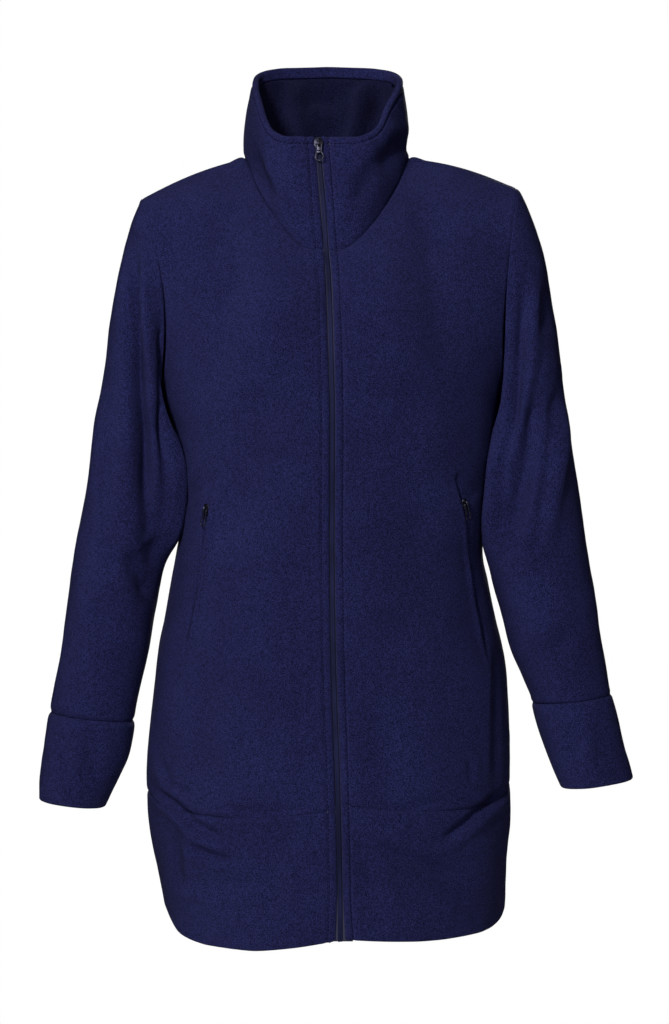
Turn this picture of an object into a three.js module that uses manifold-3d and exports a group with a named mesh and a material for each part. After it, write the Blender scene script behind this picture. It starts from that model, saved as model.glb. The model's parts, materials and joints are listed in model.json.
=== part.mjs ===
// Fleece zip jacket with a funnel collar and a deep hem band, hollow, as worn on a general figure.
// Millimetres, +Z up, front towards -Y. +X is the wearer's left. The origin lies between the
// shoulders at the height of the neck points.
import * as THREE from "three";
import { mergeVertices } from "three/addons/utils/BufferGeometryUtils.js";
import Module from "manifold-3d";

const wasm = await Module();
wasm.setup();

// Driving dimensions
const CLOTH = 2.4; // fleece wall
const SEAM = 0.4; // space between two pieces at a seam
const ZIP_SLIT = 3.2; // half the space between the two front edges
const TAPE_WIDTH = 13;
const TAPE_WALL = 0.8;
const TAPE_DEPTH = 3.2; // the tapes lie this far behind the fleece's face
const TAPE_SPACE = 0.6; // between the two tapes
const CHAIN_HALF = 2.7;
const CHAIN_WALL = 1.6;
const CHAIN_DEPTH = 1.1;
const UNDERARM_Z = -262;
const NECK_START_Z = -102; // where the neck seam meets the zip
const COLLAR_TOP_Z = 15; // rim of the collar at the zip
const BAND_SEAM_Z = -686;
const BAND_HEM_Z = -821;
const HEM_SLIT = 5.6; // half the space between the fronts at the hem
const HEM_SLIT_START_Z = -776;
const RIM_ROLL = 7.3; // both layers of the collar together
const STITCH_DEPTH = 9; // the collar's inner layer starts this far below the rim
const POCKET_ZIP_HALF = 2.6;
const POCKET_ZIP_WALL = 1.4;
const ON_CLOTH = 0.5; // what lies on a panel stays this far off its face
const SHOULDER_ARCH = { right: 6.5, left: 9 }; // the shoulder seams rise above a straight line
const SLEEVE_CLEARANCE = 1.5; // between the hanging sleeve and the body
const BODY_SIDE = { front: 0.3, back: 1.7 }; // the sleeve touches the body only between these rounds
const BISECTIONS = 24;
const SAG_FADE = 3; // the band seam's sag dies out over a third of the way to the underarm
const ARMHOLE_LEAN = { top: 0.35, low: 0.8 }; // how far the armhole's cut edge leans outwards
const ARM_BOW = 0.9; // under 1 makes the rings around the arm a little squarer than an ellipse
const BACK_LEAN = 0.5; // the centre back goes half as far sideways as the zip
const FOLD_REACH = 2; // folds stay whole until the cloth faces this many times sideways
const WELD = 1e-4;

// How many rows and columns each piece is divided into
const LOWER_ROWS = 13;
const YOKE_ROWS = 10;
const BAND_ROWS = 5;
const COLLAR_ROWS = 6;
const ROLL_STEPS = 4;
const FRONT_COLUMNS = 11;
const FRONT_NECK_COLUMNS = 5;
const BACK_COLUMNS = 10;
const BACK_NECK_COLUMNS = 4;
const FRONT_SMOOTHING = 2;
const BACK_SMOOTHING = 8;
const CURVE_STEPS = 8;

// Centre front from hem to collar rim: the zip's sideways place and its depth
const CENTRE_FRONT = [
  { z: -832, x: 14.3, y: -134 },
  { z: -740, x: 13.3, y: -136 },
  { z: -648, x: 11, y: -134 },
  { z: -517, x: 6.8, y: -130 },
  { z: -393, x: 5.5, y: -127 },
  { z: -280, x: 6, y: -137 },
  { z: -215, x: 4.7, y: -138 },
  { z: -161, x: 3.2, y: -123 },
  { z: -125, x: 1.6, y: -108 },
  { z: -102, x: -0.6, y: -98 },
  { z: -58, x: -3.4, y: -92 },
  { z: -16, x: -7, y: -87 },
  { z: 16, x: -9.2, y: -80 },
];

// Girth of the body below the underarms. right and left are the side seams' distances from the middle,
// reach and turn say how far the front (or back) runs straight before it rounds to the side.
const GIRTHS = [
  { z: -832, right: 172, left: 188, side: 18, back: 120, reach: 0.66, turn: 0.56 },
  { z: -805, right: 177.5, left: 194.5, side: 20, back: 123, reach: 0.66, turn: 0.56 },
  { z: -761, right: 187, left: 196.3, side: 20, back: 126, reach: 0.66, turn: 0.56 },
  { z: -717, right: 194, left: 198.4, side: 20, back: 127, reach: 0.66, turn: 0.56 },
  { z: -690, right: 196.3, left: 199, side: 20, back: 126, reach: 0.66, turn: 0.56 },
  { z: -650, right: 195.2, left: 199.4, side: 20, back: 124, reach: 0.67, turn: 0.57 },
  { z: -608, right: 192.9, left: 199, side: 20, back: 121, reach: 0.67, turn: 0.57 },
  { z: -564, right: 187.4, left: 195.9, side: 20, back: 116, reach: 0.67, turn: 0.57 },
  { z: -500, right: 177.5, left: 184.5, side: 19, back: 104, reach: 0.68, turn: 0.58 },
  { z: -455, right: 169.8, left: 174, side: 18, back: 95, reach: 0.7, turn: 0.58 },
  { z: -425, right: 164.5, left: 169.3, side: 17, back: 90, reach: 0.7, turn: 0.58 },
  { z: -400, right: 159.4, left: 171.5, side: 16, back: 88, reach: 0.7, turn: 0.58 },
  { z: -350, right: 156.5, left: 177.5, side: 14, back: 92, reach: 0.7, turn: 0.58 },
  { z: -300, right: 163.5, left: 184, side: 13, back: 108, reach: 0.66, turn: 0.56 },
  { z: -262, right: 180, left: 189, side: 12, back: 118, reach: 0.62, turn: 0.56 },
];

// Band seam and hem, from the zip (0) to the side seam (1) and the centre back (2)
const BAND_LINES = [
  { round: 0, seamRight: -686, seamLeft: -680, hemRight: -823, hemLeft: -822 },
  { round: 0.12, seamRight: -692, seamLeft: -685.5, hemRight: -830, hemLeft: -824 },
  { round: 0.3, seamRight: -696, seamLeft: -689, hemRight: -835.5, hemLeft: -826 },
  { round: 0.5, seamRight: -695.5, seamLeft: -690, hemRight: -835.5, hemLeft: -825 },
  { round: 0.7, seamRight: -691, seamLeft: -688, hemRight: -831, hemLeft: -824 },
  { round: 0.85, seamRight: -684, seamLeft: -680, hemRight: -817, hemLeft: -818 },
  { round: 1, seamRight: -682, seamLeft: -672, hemRight: -801, hemLeft: -803 },
  { round: 1.3, seamRight: -686, seamLeft: -682, hemRight: -810, hemLeft: -810 },
  { round: 2, seamRight: -690, seamLeft: -690, hemRight: -820, hemLeft: -820 },
];

// Neck seam from the zip (0) over the neck point (1) to the centre back (2)
const NECK = [
  { round: 0, out: 0, y: -98, z: -102 },
  { round: 0.2, out: 18, y: -96, z: -100 },
  { round: 0.38, out: 34, y: -90, z: -88 },
  { round: 0.52, out: 47, y: -79, z: -73 },
  { round: 0.66, out: 61, y: -62, z: -55 },
  { round: 0.78, out: 73, y: -40, z: -34 },
  { round: 0.9, out: 84, y: -14, z: -12 },
  { round: 1, out: 89, y: 10, z: 2 },
  { round: 1.2, out: 84, y: 38, z: 9 },
  { round: 1.5, out: 58, y: 62, z: 15 },
  { round: 2, out: 0, y: 75, z: 19 },
];

// Armholes, from the shoulder point (outer) to the underarm (inner)
const ARMHOLES = {
  right: { outer: 200, outerZ: -43, inner: 180, innerZ: -262, innerY: 12, front: 70, back: 64, inset: 18 },
  left: { outer: 205, outerZ: -32, inner: 189, innerZ: -262, innerY: 12, front: 70, back: 64, inset: 8 },
};

// Extra roundness in the middle of each panel between the underarm and the shoulder
const BUST_FULLNESS = 9;
const BACK_FULLNESS = 5;
const BACK_CENTRE = [
  { z: -262, y: 118 },
  { z: -215, y: 122 },
  { z: -160, y: 121 },
  { z: -105, y: 115 },
  { z: -50, y: 101 },
  { z: 19, y: 75 },
];

// Sleeve rings from the armhole to the cuff: the outer and inner points in the front view and the
// inner one's depth, how far the ring reaches to front and back, and how far these are drawn inwards
const SLEEVES = {
  right: [
    { outer: 211, outerZ: -71, inner: 181, innerZ: -270, innerY: 4, front: 72, back: 67, inset: 13 },
    { outer: 219.5, outerZ: -108, inner: 178.8, innerZ: -281, innerY: -4, front: 73, back: 69, inset: 7 },
    { outer: 228.3, outerZ: -150, inner: 172.5, innerZ: -294, innerY: -14, front: 73, back: 70, inset: 2 },
    { outer: 235.3, outerZ: -195, inner: 163, innerZ: -309, innerY: -26, front: 73, back: 70, inset: 0 },
    { outer: 242.3, outerZ: -240, inner: 155, innerZ: -328, innerY: -33, front: 73, back: 68, inset: 0 },
    { outer: 249.3, outerZ: -286, inner: 151.5, innerZ: -350, innerY: -34, front: 72, back: 66, inset: 0 },
    { outer: 256.6, outerZ: -334, inner: 153.5, innerZ: -378, innerY: -32, front: 71, back: 65, inset: 0 },
    { outer: 265, outerZ: -384, inner: 160.5, innerZ: -407, innerY: -24, front: 69, back: 63, inset: 0 },
    { outer: 272.7, outerZ: -425, inner: 175, innerZ: -439, innerY: -12, front: 67, back: 60, inset: 0 },
    { outer: 278.6, outerZ: -465, inner: 183.5, innerZ: -479, innerY: -5, front: 66, back: 56, inset: 0 },
    { outer: 284.5, outerZ: -505, inner: 191.5, innerZ: -518, innerY: -8, front: 65, back: 50, inset: 0 },
    { outer: 290.5, outerZ: -548, inner: 199, innerZ: -557, innerY: -10, front: 64, back: 44, inset: 0 },
    { outer: 298, outerZ: -594, inner: 208.5, innerZ: -604, innerY: -12, front: 61, back: 38, inset: 0 },
  ],
  left: [
    { outer: 218, outerZ: -57, inner: 190.2, innerZ: -270, innerY: 4, front: 72, back: 67, inset: 7 },
    { outer: 230, outerZ: -93, inner: 188.8, innerZ: -281, innerY: -4, front: 73, back: 69, inset: 4 },
    { outer: 239.5, outerZ: -134, inner: 186, innerZ: -295, innerY: -14, front: 73, back: 70, inset: 1 },
    { outer: 246.3, outerZ: -180, inner: 181.8, innerZ: -313, innerY: -26, front: 73, back: 70, inset: 0 },
    { outer: 252.2, outerZ: -226, inner: 176.8, innerZ: -333, innerY: -34, front: 73, back: 68, inset: 0 },
    { outer: 259.3, outerZ: -276, inner: 173.8, innerZ: -357, innerY: -34, front: 72, back: 66, inset: 0 },
    { outer: 267.3, outerZ: -327, inner: 170, innerZ: -384, innerY: -32, front: 71, back: 65, inset: 0 },
    { outer: 275, outerZ: -378, inner: 168.5, innerZ: -413, innerY: -24, front: 69, back: 63, inset: 0 },
    { outer: 281.2, outerZ: -425, inner: 176, innerZ: -445, innerY: -12, front: 67, back: 60, inset: 0 },
    { outer: 287, outerZ: -462, inner: 187.5, innerZ: -486, innerY: -5, front: 66, back: 56, inset: 0 },
    { outer: 293.2, outerZ: -501, inner: 198, innerZ: -525, innerY: -8, front: 65, back: 50, inset: 0 },
    { outer: 300.2, outerZ: -541, inner: 211, innerZ: -560, innerY: -10, front: 64, back: 44, inset: 0 },
    { outer: 306, outerZ: -575, inner: 221, innerZ: -585, innerY: -12, front: 61, back: 38, inset: 0 },
  ],
};
const CUFFS = {
  right: [
    { outer: 301, outerZ: -604, inner: 208.5, innerZ: -614, innerY: -12, front: 63, back: 40, inset: 0 },
    { outer: 305, outerZ: -633, inner: 214.5, innerZ: -644, innerY: -14, front: 63, back: 36, inset: 0 },
    { outer: 309.6, outerZ: -667, inner: 229, innerZ: -677, innerY: -16, front: 60, back: 28, inset: 0 },
    { outer: 310.8, outerZ: -689, inner: 238.5, innerZ: -698, innerY: -17, front: 56, back: 22, inset: 0 },
  ],
  left: [
    { outer: 309.5, outerZ: -585, inner: 221.5, innerZ: -596, innerY: -12, front: 63, back: 40, inset: 0 },
    { outer: 317.5, outerZ: -622, inner: 231.5, innerZ: -628, innerY: -14, front: 63, back: 36, inset: 0 },
    { outer: 325, outerZ: -647, inner: 244, innerZ: -658, innerY: -16, front: 60, back: 28, inset: 0 },
    { outer: 329, outerZ: -666, inner: 253, innerZ: -677, innerY: -17, front: 56, back: 22, inset: 0 },
  ],
};

// Rim of the collar from the zip (0) over the side (1) to the centre back (2)
const COLLAR_RIM = [
  { round: 0, out: 0, y: -80, z: 14 },
  { round: 0.2, out: 20, y: -80, z: 14 },
  { round: 0.38, out: 38, y: -77, z: 15 },
  { round: 0.52, out: 52, y: -69, z: 20 },
  { round: 0.66, out: 62, y: -53, z: 34 },
  { round: 0.78, out: 70, y: -34, z: 52 },
  { round: 0.9, out: 77, y: -9, z: 69 },
  { round: 1, out: 81, y: 16, z: 80 },
  { round: 1.2, out: 80, y: 50, z: 92 },
  { round: 1.5, out: 57, y: 77, z: 101 },
  { round: 2, out: 0, y: 90, z: 104 },
];
const COLLAR_BULGE = { zip: 1, side: 3 }; // how far it stands outside a straight line from seam to rim

// Folds worn into the cloth: the two ends of each in the front view, half width and depth
const SLEEVE_FOLDS = {
  right: [
    { x0: -206, z0: -205, x1: -197, z1: -400, half: 15, depth: 7 },
  ],
  left: [
    { x0: 229, z0: -236, x1: 222, z1: -300, half: 13, depth: 5 },
    { x0: 222, z0: -300, x1: 180, z1: -392, half: 13, depth: 7 },
    { x0: 247, z0: -300, x1: 238, z1: -420, half: 12, depth: 3 },
  ],
};
const BAND_FOLDS = [
  { x0: -152, z0: -703, x1: -108, z1: -724, half: 9, depth: 4 },
  { x0: -152, z0: -730, x1: -126, z1: -737, half: 9, depth: 3 },
  { x0: -154, z0: -736, x1: -150, z1: -792, half: 10, depth: 4 },
  { x0: 192, z0: -690, x1: 136, z1: -722, half: 11, depth: 5 },
  { x0: 78, z0: -736, x1: 132, z1: -757, half: 13, depth: 3 },
];
const COLLAR_FOLDS = [
  { x0: 50, z0: -5, x1: 16, z1: -60, half: 13, depth: 4 },
  { x0: 78, z0: -22, x1: 46, z1: -66, half: 10, depth: 3 },
  { x0: -66, z0: -10, x1: -40, z1: -62, half: 11, depth: 4 },
];

// Pocket zips down the sides of the fronts: places on the front, from top to bottom
const POCKET_LINES = {
  right: [
    { x: -123, z: -366 },
    { x: -126.4, z: -387 },
    { x: -129.6, z: -414 },
    { x: -134, z: -443 },
    { x: -140.5, z: -476 },
    { x: -148, z: -512 },
  ],
  left: [
    { x: 141, z: -360 },
    { x: 145.6, z: -383 },
    { x: 150.5, z: -415 },
    { x: 154.6, z: -443 },
    { x: 160, z: -476 },
    { x: 167.7, z: -513 },
  ],
};

// Sliders and pulls. A bail is a half ring on the slider; the pull's crossbar lies in it.
const MAIN_SLIDER = {
  z: 8,
  width: 9.5,
  length: 14,
  wall: 1.8,
  stemWidth: 4,
  stemDepth: 0.8,
  bail: { outer: 3.3, inner: 1.8, width: 2 },
};
const MAIN_PULL = { width: 9.6, length: 22, neck: 5.6, bar: 1.6, eye: 5, shoulder: 10.5, loop: 4.6 };
const POCKET_SLIDER = {
  width: 7.5,
  length: 11,
  wall: 1.6,
  stemWidth: 0,
  stemDepth: 0,
  bail: { outer: 2.9, inner: 1.6, width: 1.8 },
};
const POCKET_PULL = { width: 7.6, length: 22, neck: 4.8, bar: 1.4, eye: 4.4, shoulder: 10, loop: 3.6 };
const BAIL_RISE = 1.1; // the bail's centre above the slider's face
const BAIL_ROOT = 0.4; // the bail's feet are sunk this far into it
const BAIL_PLAY = 0.6; // beside the bail in the pull's eye
const PULL_RISE = 1.3; // the crossbar's middle above the slider's face
const POCKET_STEP = 8;

const FLEECE = { color: 0x1f2144, roughness: 0.95, metalness: 0 };
const TAPE = { color: 0x23264a, roughness: 0.8, metalness: 0 };
const CHAIN = { color: 0x4d5878, roughness: 0.5, metalness: 0 };
const METAL = { color: 0x4a4a55, roughness: 0.35, metalness: 0.9 };

const SIDES = { right: -1, left: 1 };
const FRONT_NECK_PART = FRONT_NECK_COLUMNS / FRONT_COLUMNS;
const BACK_NECK_PART = BACK_NECK_COLUMNS / BACK_COLUMNS;
const point = (x, y, z) => new THREE.Vector3(x, y, z);
const mix = (a, b, part) => a + (b - a) * part;

// Reads one column of a table between its rows, without overshoot.
function column(rows, key, name, at) {
  const last = rows.length - 1;
  const rising = rows[last][key] > rows[0][key];
  const sorted = rising ? rows : [...rows].reverse();
  if (at <= sorted[0][key]) return sorted[0][name];
  if (at >= sorted[last][key]) return sorted[last][name];
  let i = 0;
  while (sorted[i + 1][key] < at) i += 1;
  const width = (n) => sorted[n + 1][key] - sorted[n][key];
  const slope = (n) => (sorted[n + 1][name] - sorted[n][name]) / width(n);
  const tangent = (n) => {
    if (n === 0) return slope(0);
    if (n === last) return slope(last - 1);
    const before = slope(n - 1);
    const after = slope(n);
    return before * after <= 0 ? 0 : (2 * before * after) / (before + after);
  };
  const t = (at - sorted[i][key]) / width(i);
  const rise = sorted[i + 1][name] - sorted[i][name];
  const start = tangent(i) * width(i);
  const end = tangent(i + 1) * width(i);
  const eased = t * t * (3 - 2 * t);
  return sorted[i][name] + rise * eased + start * t * (1 - t) ** 2 - end * t * t * (1 - t);
}

function bezier(a, b, c, d, t) {
  const s = 1 - t;
  return a
    .clone()
    .multiplyScalar(s ** 3)
    .addScaledVector(b, 3 * s * s * t)
    .addScaledVector(c, 3 * s * t * t)
    .addScaledVector(d, t ** 3);
}

const centreFront = (z) => point(column(CENTRE_FRONT, "z", "x", z), column(CENTRE_FRONT, "z", "y", z), z);

// Half the space between the two fronts, wider towards the hem.
function slit(z) {
  const open = THREE.MathUtils.clamp((HEM_SLIT_START_Z - z) / (HEM_SLIT_START_Z - BAND_HEM_Z), 0, 1);
  return mix(ZIP_SLIT, HEM_SLIT, open);
}

// A point of the body below the underarms. round runs from the zip (0) to the side (1) and back (2).
function bodyPoint(side, z, round) {
  const g = (name) => column(GIRTHS, "z", name, z);
  const sign = SIDES[side];
  const seam = point(sign * g(side), g("side"), z);
  const front = centreFront(z);
  if (round <= 1) {
    const start = point(front.x + sign * slit(z), front.y, z);
    const pull = start.clone().setX(mix(start.x, seam.x, g("reach")));
    const turn = seam.clone().setY(mix(seam.y, start.y, g("turn")));
    return bezier(start, pull, turn, seam, round);
  }
  const end = point(front.x * BACK_LEAN, g("back"), z);
  const turn = seam.clone().setY(mix(seam.y, end.y, g("turn")));
  const pull = end.clone().setX(mix(end.x, seam.x, g("reach")));
  return bezier(seam, turn, pull, end, round - 1);
}

// A point of a ring around the arm: turn 0 is its outer end, 180 its inner end, facing -1 its front.
function ringPoint(side, ring, turn, facing) {
  const angle = THREE.MathUtils.degToRad(turn);
  const low = (1 - Math.cos(angle)) / 2;
  const bow = Math.sin(angle) ** ARM_BOW;
  const y = mix((ring.back - ring.front) / 2, ring.innerY, low);
  const out = mix(ring.outer, ring.inner, low) - ring.inset * Math.sin(angle) ** 2;
  const reach = facing < 0 ? -ring.front : ring.back;
  return point(SIDES[side] * out, mix(y, reach, bow), mix(ring.outerZ, ring.innerZ, low));
}

const armhole = (side, turn, facing) => ringPoint(side, ARMHOLES[side], turn, facing);

function neckPoint(side, round) {
  const middle = column(CENTRE_FRONT, "z", "x", NECK_START_Z);
  const towardsZip = Math.max(0, 1 - round);
  return point(
    SIDES[side] * (column(NECK, "round", "out", round) + ZIP_SLIT * towardsZip) + middle * towardsZip,
    column(NECK, "round", "y", round),
    column(NECK, "round", "z", round),
  );
}

// The shoulder seam, a little arched, from the neck point (0) to the shoulder point (1).
function shoulderPoint(side, part) {
  const p = neckPoint(side, 1).lerp(armhole(side, 0, -1), part);
  p.z += SHOULDER_ARCH[side] * Math.sin(Math.PI * part);
  return p;
}

// The upper border of a panel: the neck seam, then the shoulder seam.
function topPoint(side, facing, across) {
  const neckPart = facing < 0 ? FRONT_NECK_PART : BACK_NECK_PART;
  if (across > neckPart) return shoulderPoint(side, (across - neckPart) / (1 - neckPart));
  const along = across / neckPart;
  return neckPoint(side, facing < 0 ? along : 2 - along);
}

function middlePoint(side, facing, height) {
  if (facing < 0) {
    const z = mix(UNDERARM_Z, NECK_START_Z, height);
    const p = centreFront(z);
    p.x += SIDES[side] * slit(z);
    return p;
  }
  const z = mix(UNDERARM_Z, BACK_CENTRE.at(-1).z, height);
  const out = centreFront(UNDERARM_Z).x * BACK_LEAN * (1 - height);
  return point(out, column(BACK_CENTRE, "z", "y", z), z);
}

// A point of the front (facing -1) or back (facing 1) from the underarm (height 0) to the neck and
// shoulder seams (height 1), between the middle (across 0) and the armhole (across 1).
function yokePoint(side, facing, height, across) {
  const low = (t) => bodyPoint(side, UNDERARM_Z, facing < 0 ? t : 2 - t);
  const top = (t) => topPoint(side, facing, t);
  const rails = middlePoint(side, facing, height).lerp(armhole(side, 180 * (1 - height), facing), across);
  const spans = low(across).lerp(top(across), height);
  const corners = low(0).lerp(low(1), across).lerp(top(0).lerp(top(1), across), height);
  const fullness = facing < 0 ? -BUST_FULLNESS : BACK_FULLNESS;
  const p = rails.add(spans).sub(corners);
  p.y += fullness * Math.sin(Math.PI * across) * Math.sin(Math.PI * height);
  return p;
}

// A grid is a list of rows of points. Each point gets the outward direction of its neighbourhood.
function directions(grid, closed) {
  const rows = grid.length;
  const cols = grid[0].length;
  return grid.map((line, i) =>
    line.map((_, j) => {
      const above = grid[Math.min(i + 1, rows - 1)][j];
      const below = grid[Math.max(i - 1, 0)][j];
      const next = closed ? line[(j + 1) % cols] : line[Math.min(j + 1, cols - 1)];
      const before = closed ? line[(j + cols - 1) % cols] : line[Math.max(j - 1, 0)];
      return next.clone().sub(before).cross(above.clone().sub(below)).normalize();
    }),
  );
}

// Smooths the inner points of a panel above the underarm.
function relaxed(grid, passes) {
  let now = grid;
  for (let pass = 0; pass < passes; pass += 1) {
    const before = now;
    now = before.map((line, i) =>
      line.map((p, j) => {
        const onBorder = j === 0 || i === before.length - 1 || j === line.length - 1;
        if (onBorder || i <= LOWER_ROWS) return p.clone();
        const around = before[i - 1][j].clone().add(before[i + 1][j]).add(line[j - 1]).add(line[j + 1]);
        return p.clone().lerp(around.multiplyScalar(0.25), 0.5);
      }),
    );
  }
  return now;
}

// Sinks the front of a grid along the folds.
function folded(grid, closed, folds) {
  const out = directions(grid, closed);
  return grid.map((line, i) =>
    line.map((p, j) => {
      let sink = 0;
      if (i === 0 || i === grid.length - 1) return p.clone();
      for (const f of folds) {
        const run = new THREE.Vector2(f.x1 - f.x0, f.z1 - f.z0);
        const to = new THREE.Vector2(p.x - f.x0, p.z - f.z0);
        const along = THREE.MathUtils.clamp(to.dot(run) / run.lengthSq(), 0, 1);
        const away = to.addScaledVector(run, -along).length() / f.half;
        const facing = THREE.MathUtils.clamp(-FOLD_REACH * out[i][j].y, 0, 1);
        sink += f.depth * facing * Math.exp(-away * away);
      }
      return p.clone().addScaledVector(out[i][j], -sink);
    }),
  );
}

// Draws the borders of a grid in by half the seam space.
function parted(grid, closed = false) {
  const rows = grid.length;
  const cols = grid[0].length;
  const result = grid.map((line) => line.map((p) => p.clone()));
  const draw = (i, j, k, l) => {
    const inward = grid[k][l].clone().sub(grid[i][j]).normalize();
    result[i][j].addScaledVector(inward, SEAM / 2);
  };
  for (let j = 0; j < cols; j += 1) {
    draw(0, j, 1, j);
    draw(rows - 1, j, rows - 2, j);
  }
  if (closed) return result;
  for (let i = 0; i < rows; i += 1) {
    draw(i, 0, i, 1);
    draw(i, cols - 1, i, cols - 2);
  }
  return result;
}

// Turns a grid of outer points into one closed wall. edge gives the direction out at a border where
// two pieces meet at an angle, so that both walls end along one plane.
function wall(grid, thickness, { closed = false, lift = 0, edge = () => null } = {}) {
  const rows = grid.length;
  const cols = grid[0].length;
  const out = directions(grid, closed);
  const positions = [];
  for (const height of [lift, lift - thickness]) {
    grid.forEach((line, i) =>
      line.forEach((p, j) => {
        const along = edge(i, j, out[i][j]) ?? out[i][j];
        positions.push(...p.clone().addScaledVector(along, height).toArray());
      }),
    );
  }
  const index = [];
  const inner = rows * cols;
  const at = (i, j) => i * cols + (j % cols);
  const quad = (a, b, c, d) => index.push(a, b, c, a, c, d);
  const across = closed ? cols : cols - 1;
  const top = rows - 1;
  for (let j = 0; j < across; j += 1) {
    for (let i = 0; i < top; i += 1) {
      quad(at(i, j), at(i, j + 1), at(i + 1, j + 1), at(i + 1, j));
      quad(inner + at(i, j), inner + at(i + 1, j), inner + at(i + 1, j + 1), inner + at(i, j + 1));
    }
    quad(at(0, j + 1), at(0, j), inner + at(0, j), inner + at(0, j + 1));
    quad(at(top, j), at(top, j + 1), inner + at(top, j + 1), inner + at(top, j));
  }
  const end = cols - 1;
  for (let i = 0; i < top && !closed; i += 1) {
    quad(at(i, 0), at(i + 1, 0), inner + at(i + 1, 0), inner + at(i, 0));
    quad(at(i + 1, end), at(i, end), inner + at(i, end), inner + at(i + 1, end));
  }
  const geometry = new THREE.BufferGeometry();
  geometry.setAttribute("position", new THREE.Float32BufferAttribute(positions, 3));
  geometry.setIndex(index);
  geometry.computeVertexNormals();
  return geometry;
}

const jacket = new THREE.Group();

function add(name, geometry, finish, parent = jacket) {
  const mesh = new THREE.Mesh(geometry, new THREE.MeshStandardMaterial(finish));
  mesh.name = name;
  parent.add(mesh);
}

const steps = (count, from = 0, to = 1) =>
  Array.from({ length: count + 1 }, (_, i) => mix(from, to, i / count));

// Columns run from the wearer's right to left across the front, and on round the back.
const ordered = (side, facing, line) => (SIDES[side] * facing < 0 ? line : [...line].reverse());

function bandLine(side, name, round) {
  return column(BAND_LINES, "round", name + (side === "right" ? "Right" : "Left"), round);
}

// Rows of one half of a panel, from the band seam up.
function panelRows(side, facing, count) {
  const columns = steps(count);
  const sag = (round) => bandLine(side, "seam", round) - BAND_SEAM_Z;
  const lower = steps(LOWER_ROWS).map((part) =>
    columns.map((across) => {
      const round = facing < 0 ? across : 2 - across;
      const level = mix(BAND_SEAM_Z, UNDERARM_Z, part);
      return bodyPoint(side, level + sag(round) * Math.max(0, 1 - SAG_FADE * part), round);
    }),
  );
  const upper = steps(YOKE_ROWS)
    .slice(1)
    .map((height) => columns.map((across) => yokePoint(side, facing, height, across)));
  return [...lower, ...upper];
}

// The direction out where a panel ends at the side, the armhole or the shoulder.
function panelEdge(side, facing, i) {
  if (i < LOWER_ROWS) return point(SIDES[side], 0, 0);
  return armholeDirection(side, 180 * (1 - (i - LOWER_ROWS) / YOKE_ROWS), facing);
}

function armholeDirection(side, turn, facing) {
  const angle = THREE.MathUtils.degToRad(turn);
  const sideways = mix(ARMHOLE_LEAN.top, ARMHOLE_LEAN.low, (1 - Math.cos(angle)) / 2);
  return point(SIDES[side] * sideways, facing * Math.sin(angle), Math.cos(angle)).normalize();
}

const level = (direction) => direction.clone().setZ(0).normalize();
const shoulderDirection = (side) => point(SIDES[side] * ARMHOLE_LEAN.top, 0, 1).normalize();

function frontPanel(side) {
  const grid = relaxed(panelRows(side, -1, FRONT_COLUMNS), FRONT_SMOOTHING);
  const panel = parted(grid.map((line) => ordered(side, -1, line)));
  const top = panel.length - 1;
  const edge = (i, j, out) => {
    const across = side === "left" ? j : FRONT_COLUMNS - j;
    if (across === FRONT_COLUMNS) return panelEdge(side, -1, i);
    if (i === 0) return level(out);
    return i === top && across >= FRONT_NECK_COLUMNS ? shoulderDirection(side) : null;
  };
  add("front_" + side, wall(panel, CLOTH, { edge }), FLEECE);
  return panel;
}

function backPanel() {
  const right = panelRows("right", 1, BACK_COLUMNS);
  const left = panelRows("left", 1, BACK_COLUMNS);
  const whole = left.map((line, i) => [...[...line].reverse(), ...right[i].slice(1)]);
  const panel = parted(relaxed(whole, BACK_SMOOTHING));
  const top = panel.length - 1;
  const edge = (i, j, out) => {
    const side = j < BACK_COLUMNS ? "left" : "right";
    const across = Math.abs(BACK_COLUMNS - j);
    if (across === BACK_COLUMNS) return panelEdge(side, 1, i);
    if (i === 0) return level(out);
    return i === top && across >= BACK_NECK_COLUMNS ? shoulderDirection(side) : null;
  };
  add("back", wall(panel, CLOTH, { edge }), FLEECE);
}

// Rows of one half of the hem band, from the hem up to its seam.
function bandRows(side, facing, count) {
  return steps(BAND_ROWS).map((height) =>
    steps(count).map((across) => {
      const round = facing < 0 ? across : 2 - across;
      const z = mix(bandLine(side, "hem", round), bandLine(side, "seam", round), height);
      return bodyPoint(side, z, round);
    }),
  );
}

function frontBand(side) {
  const grid = bandRows(side, -1, FRONT_COLUMNS).map((line) => ordered(side, -1, line));
  const band = parted(folded(grid, false, BAND_FOLDS));
  const end = side === "left" ? FRONT_COLUMNS : 0;
  const edge = (i, j, out) => {
    if (j === end) return point(SIDES[side], 0, 0);
    return i === BAND_ROWS ? level(out) : null;
  };
  add("hem_band_front_" + side, wall(band, CLOTH, { edge }), FLEECE);
  return band;
}

function backBand() {
  const right = bandRows("right", 1, BACK_COLUMNS);
  const left = bandRows("left", 1, BACK_COLUMNS);
  const whole = left.map((line, i) => [...[...line].reverse(), ...right[i].slice(1)]);
  const edge = (i, j, out) => {
    if (j % (2 * BACK_COLUMNS) === 0) return point(j ? -1 : 1, 0, 0);
    return i === BAND_ROWS ? level(out) : null;
  };
  add("hem_band_back", wall(parted(whole), CLOTH, { edge }), FLEECE);
}

// One ring of arm points: over the front from the outer end to the inner end, and back behind.
function ring(side, row) {
  const turns = steps(YOKE_ROWS, 0, 180);
  const front = turns.map((turn) => ringPoint(side, row, turn, -1));
  const behind = turns.slice(1, -1).reverse();
  const around = [...front, ...behind.map((turn) => ringPoint(side, row, turn, 1))];
  return side === "right" ? around : [around[0], ...around.slice(1).reverse()];
}

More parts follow.
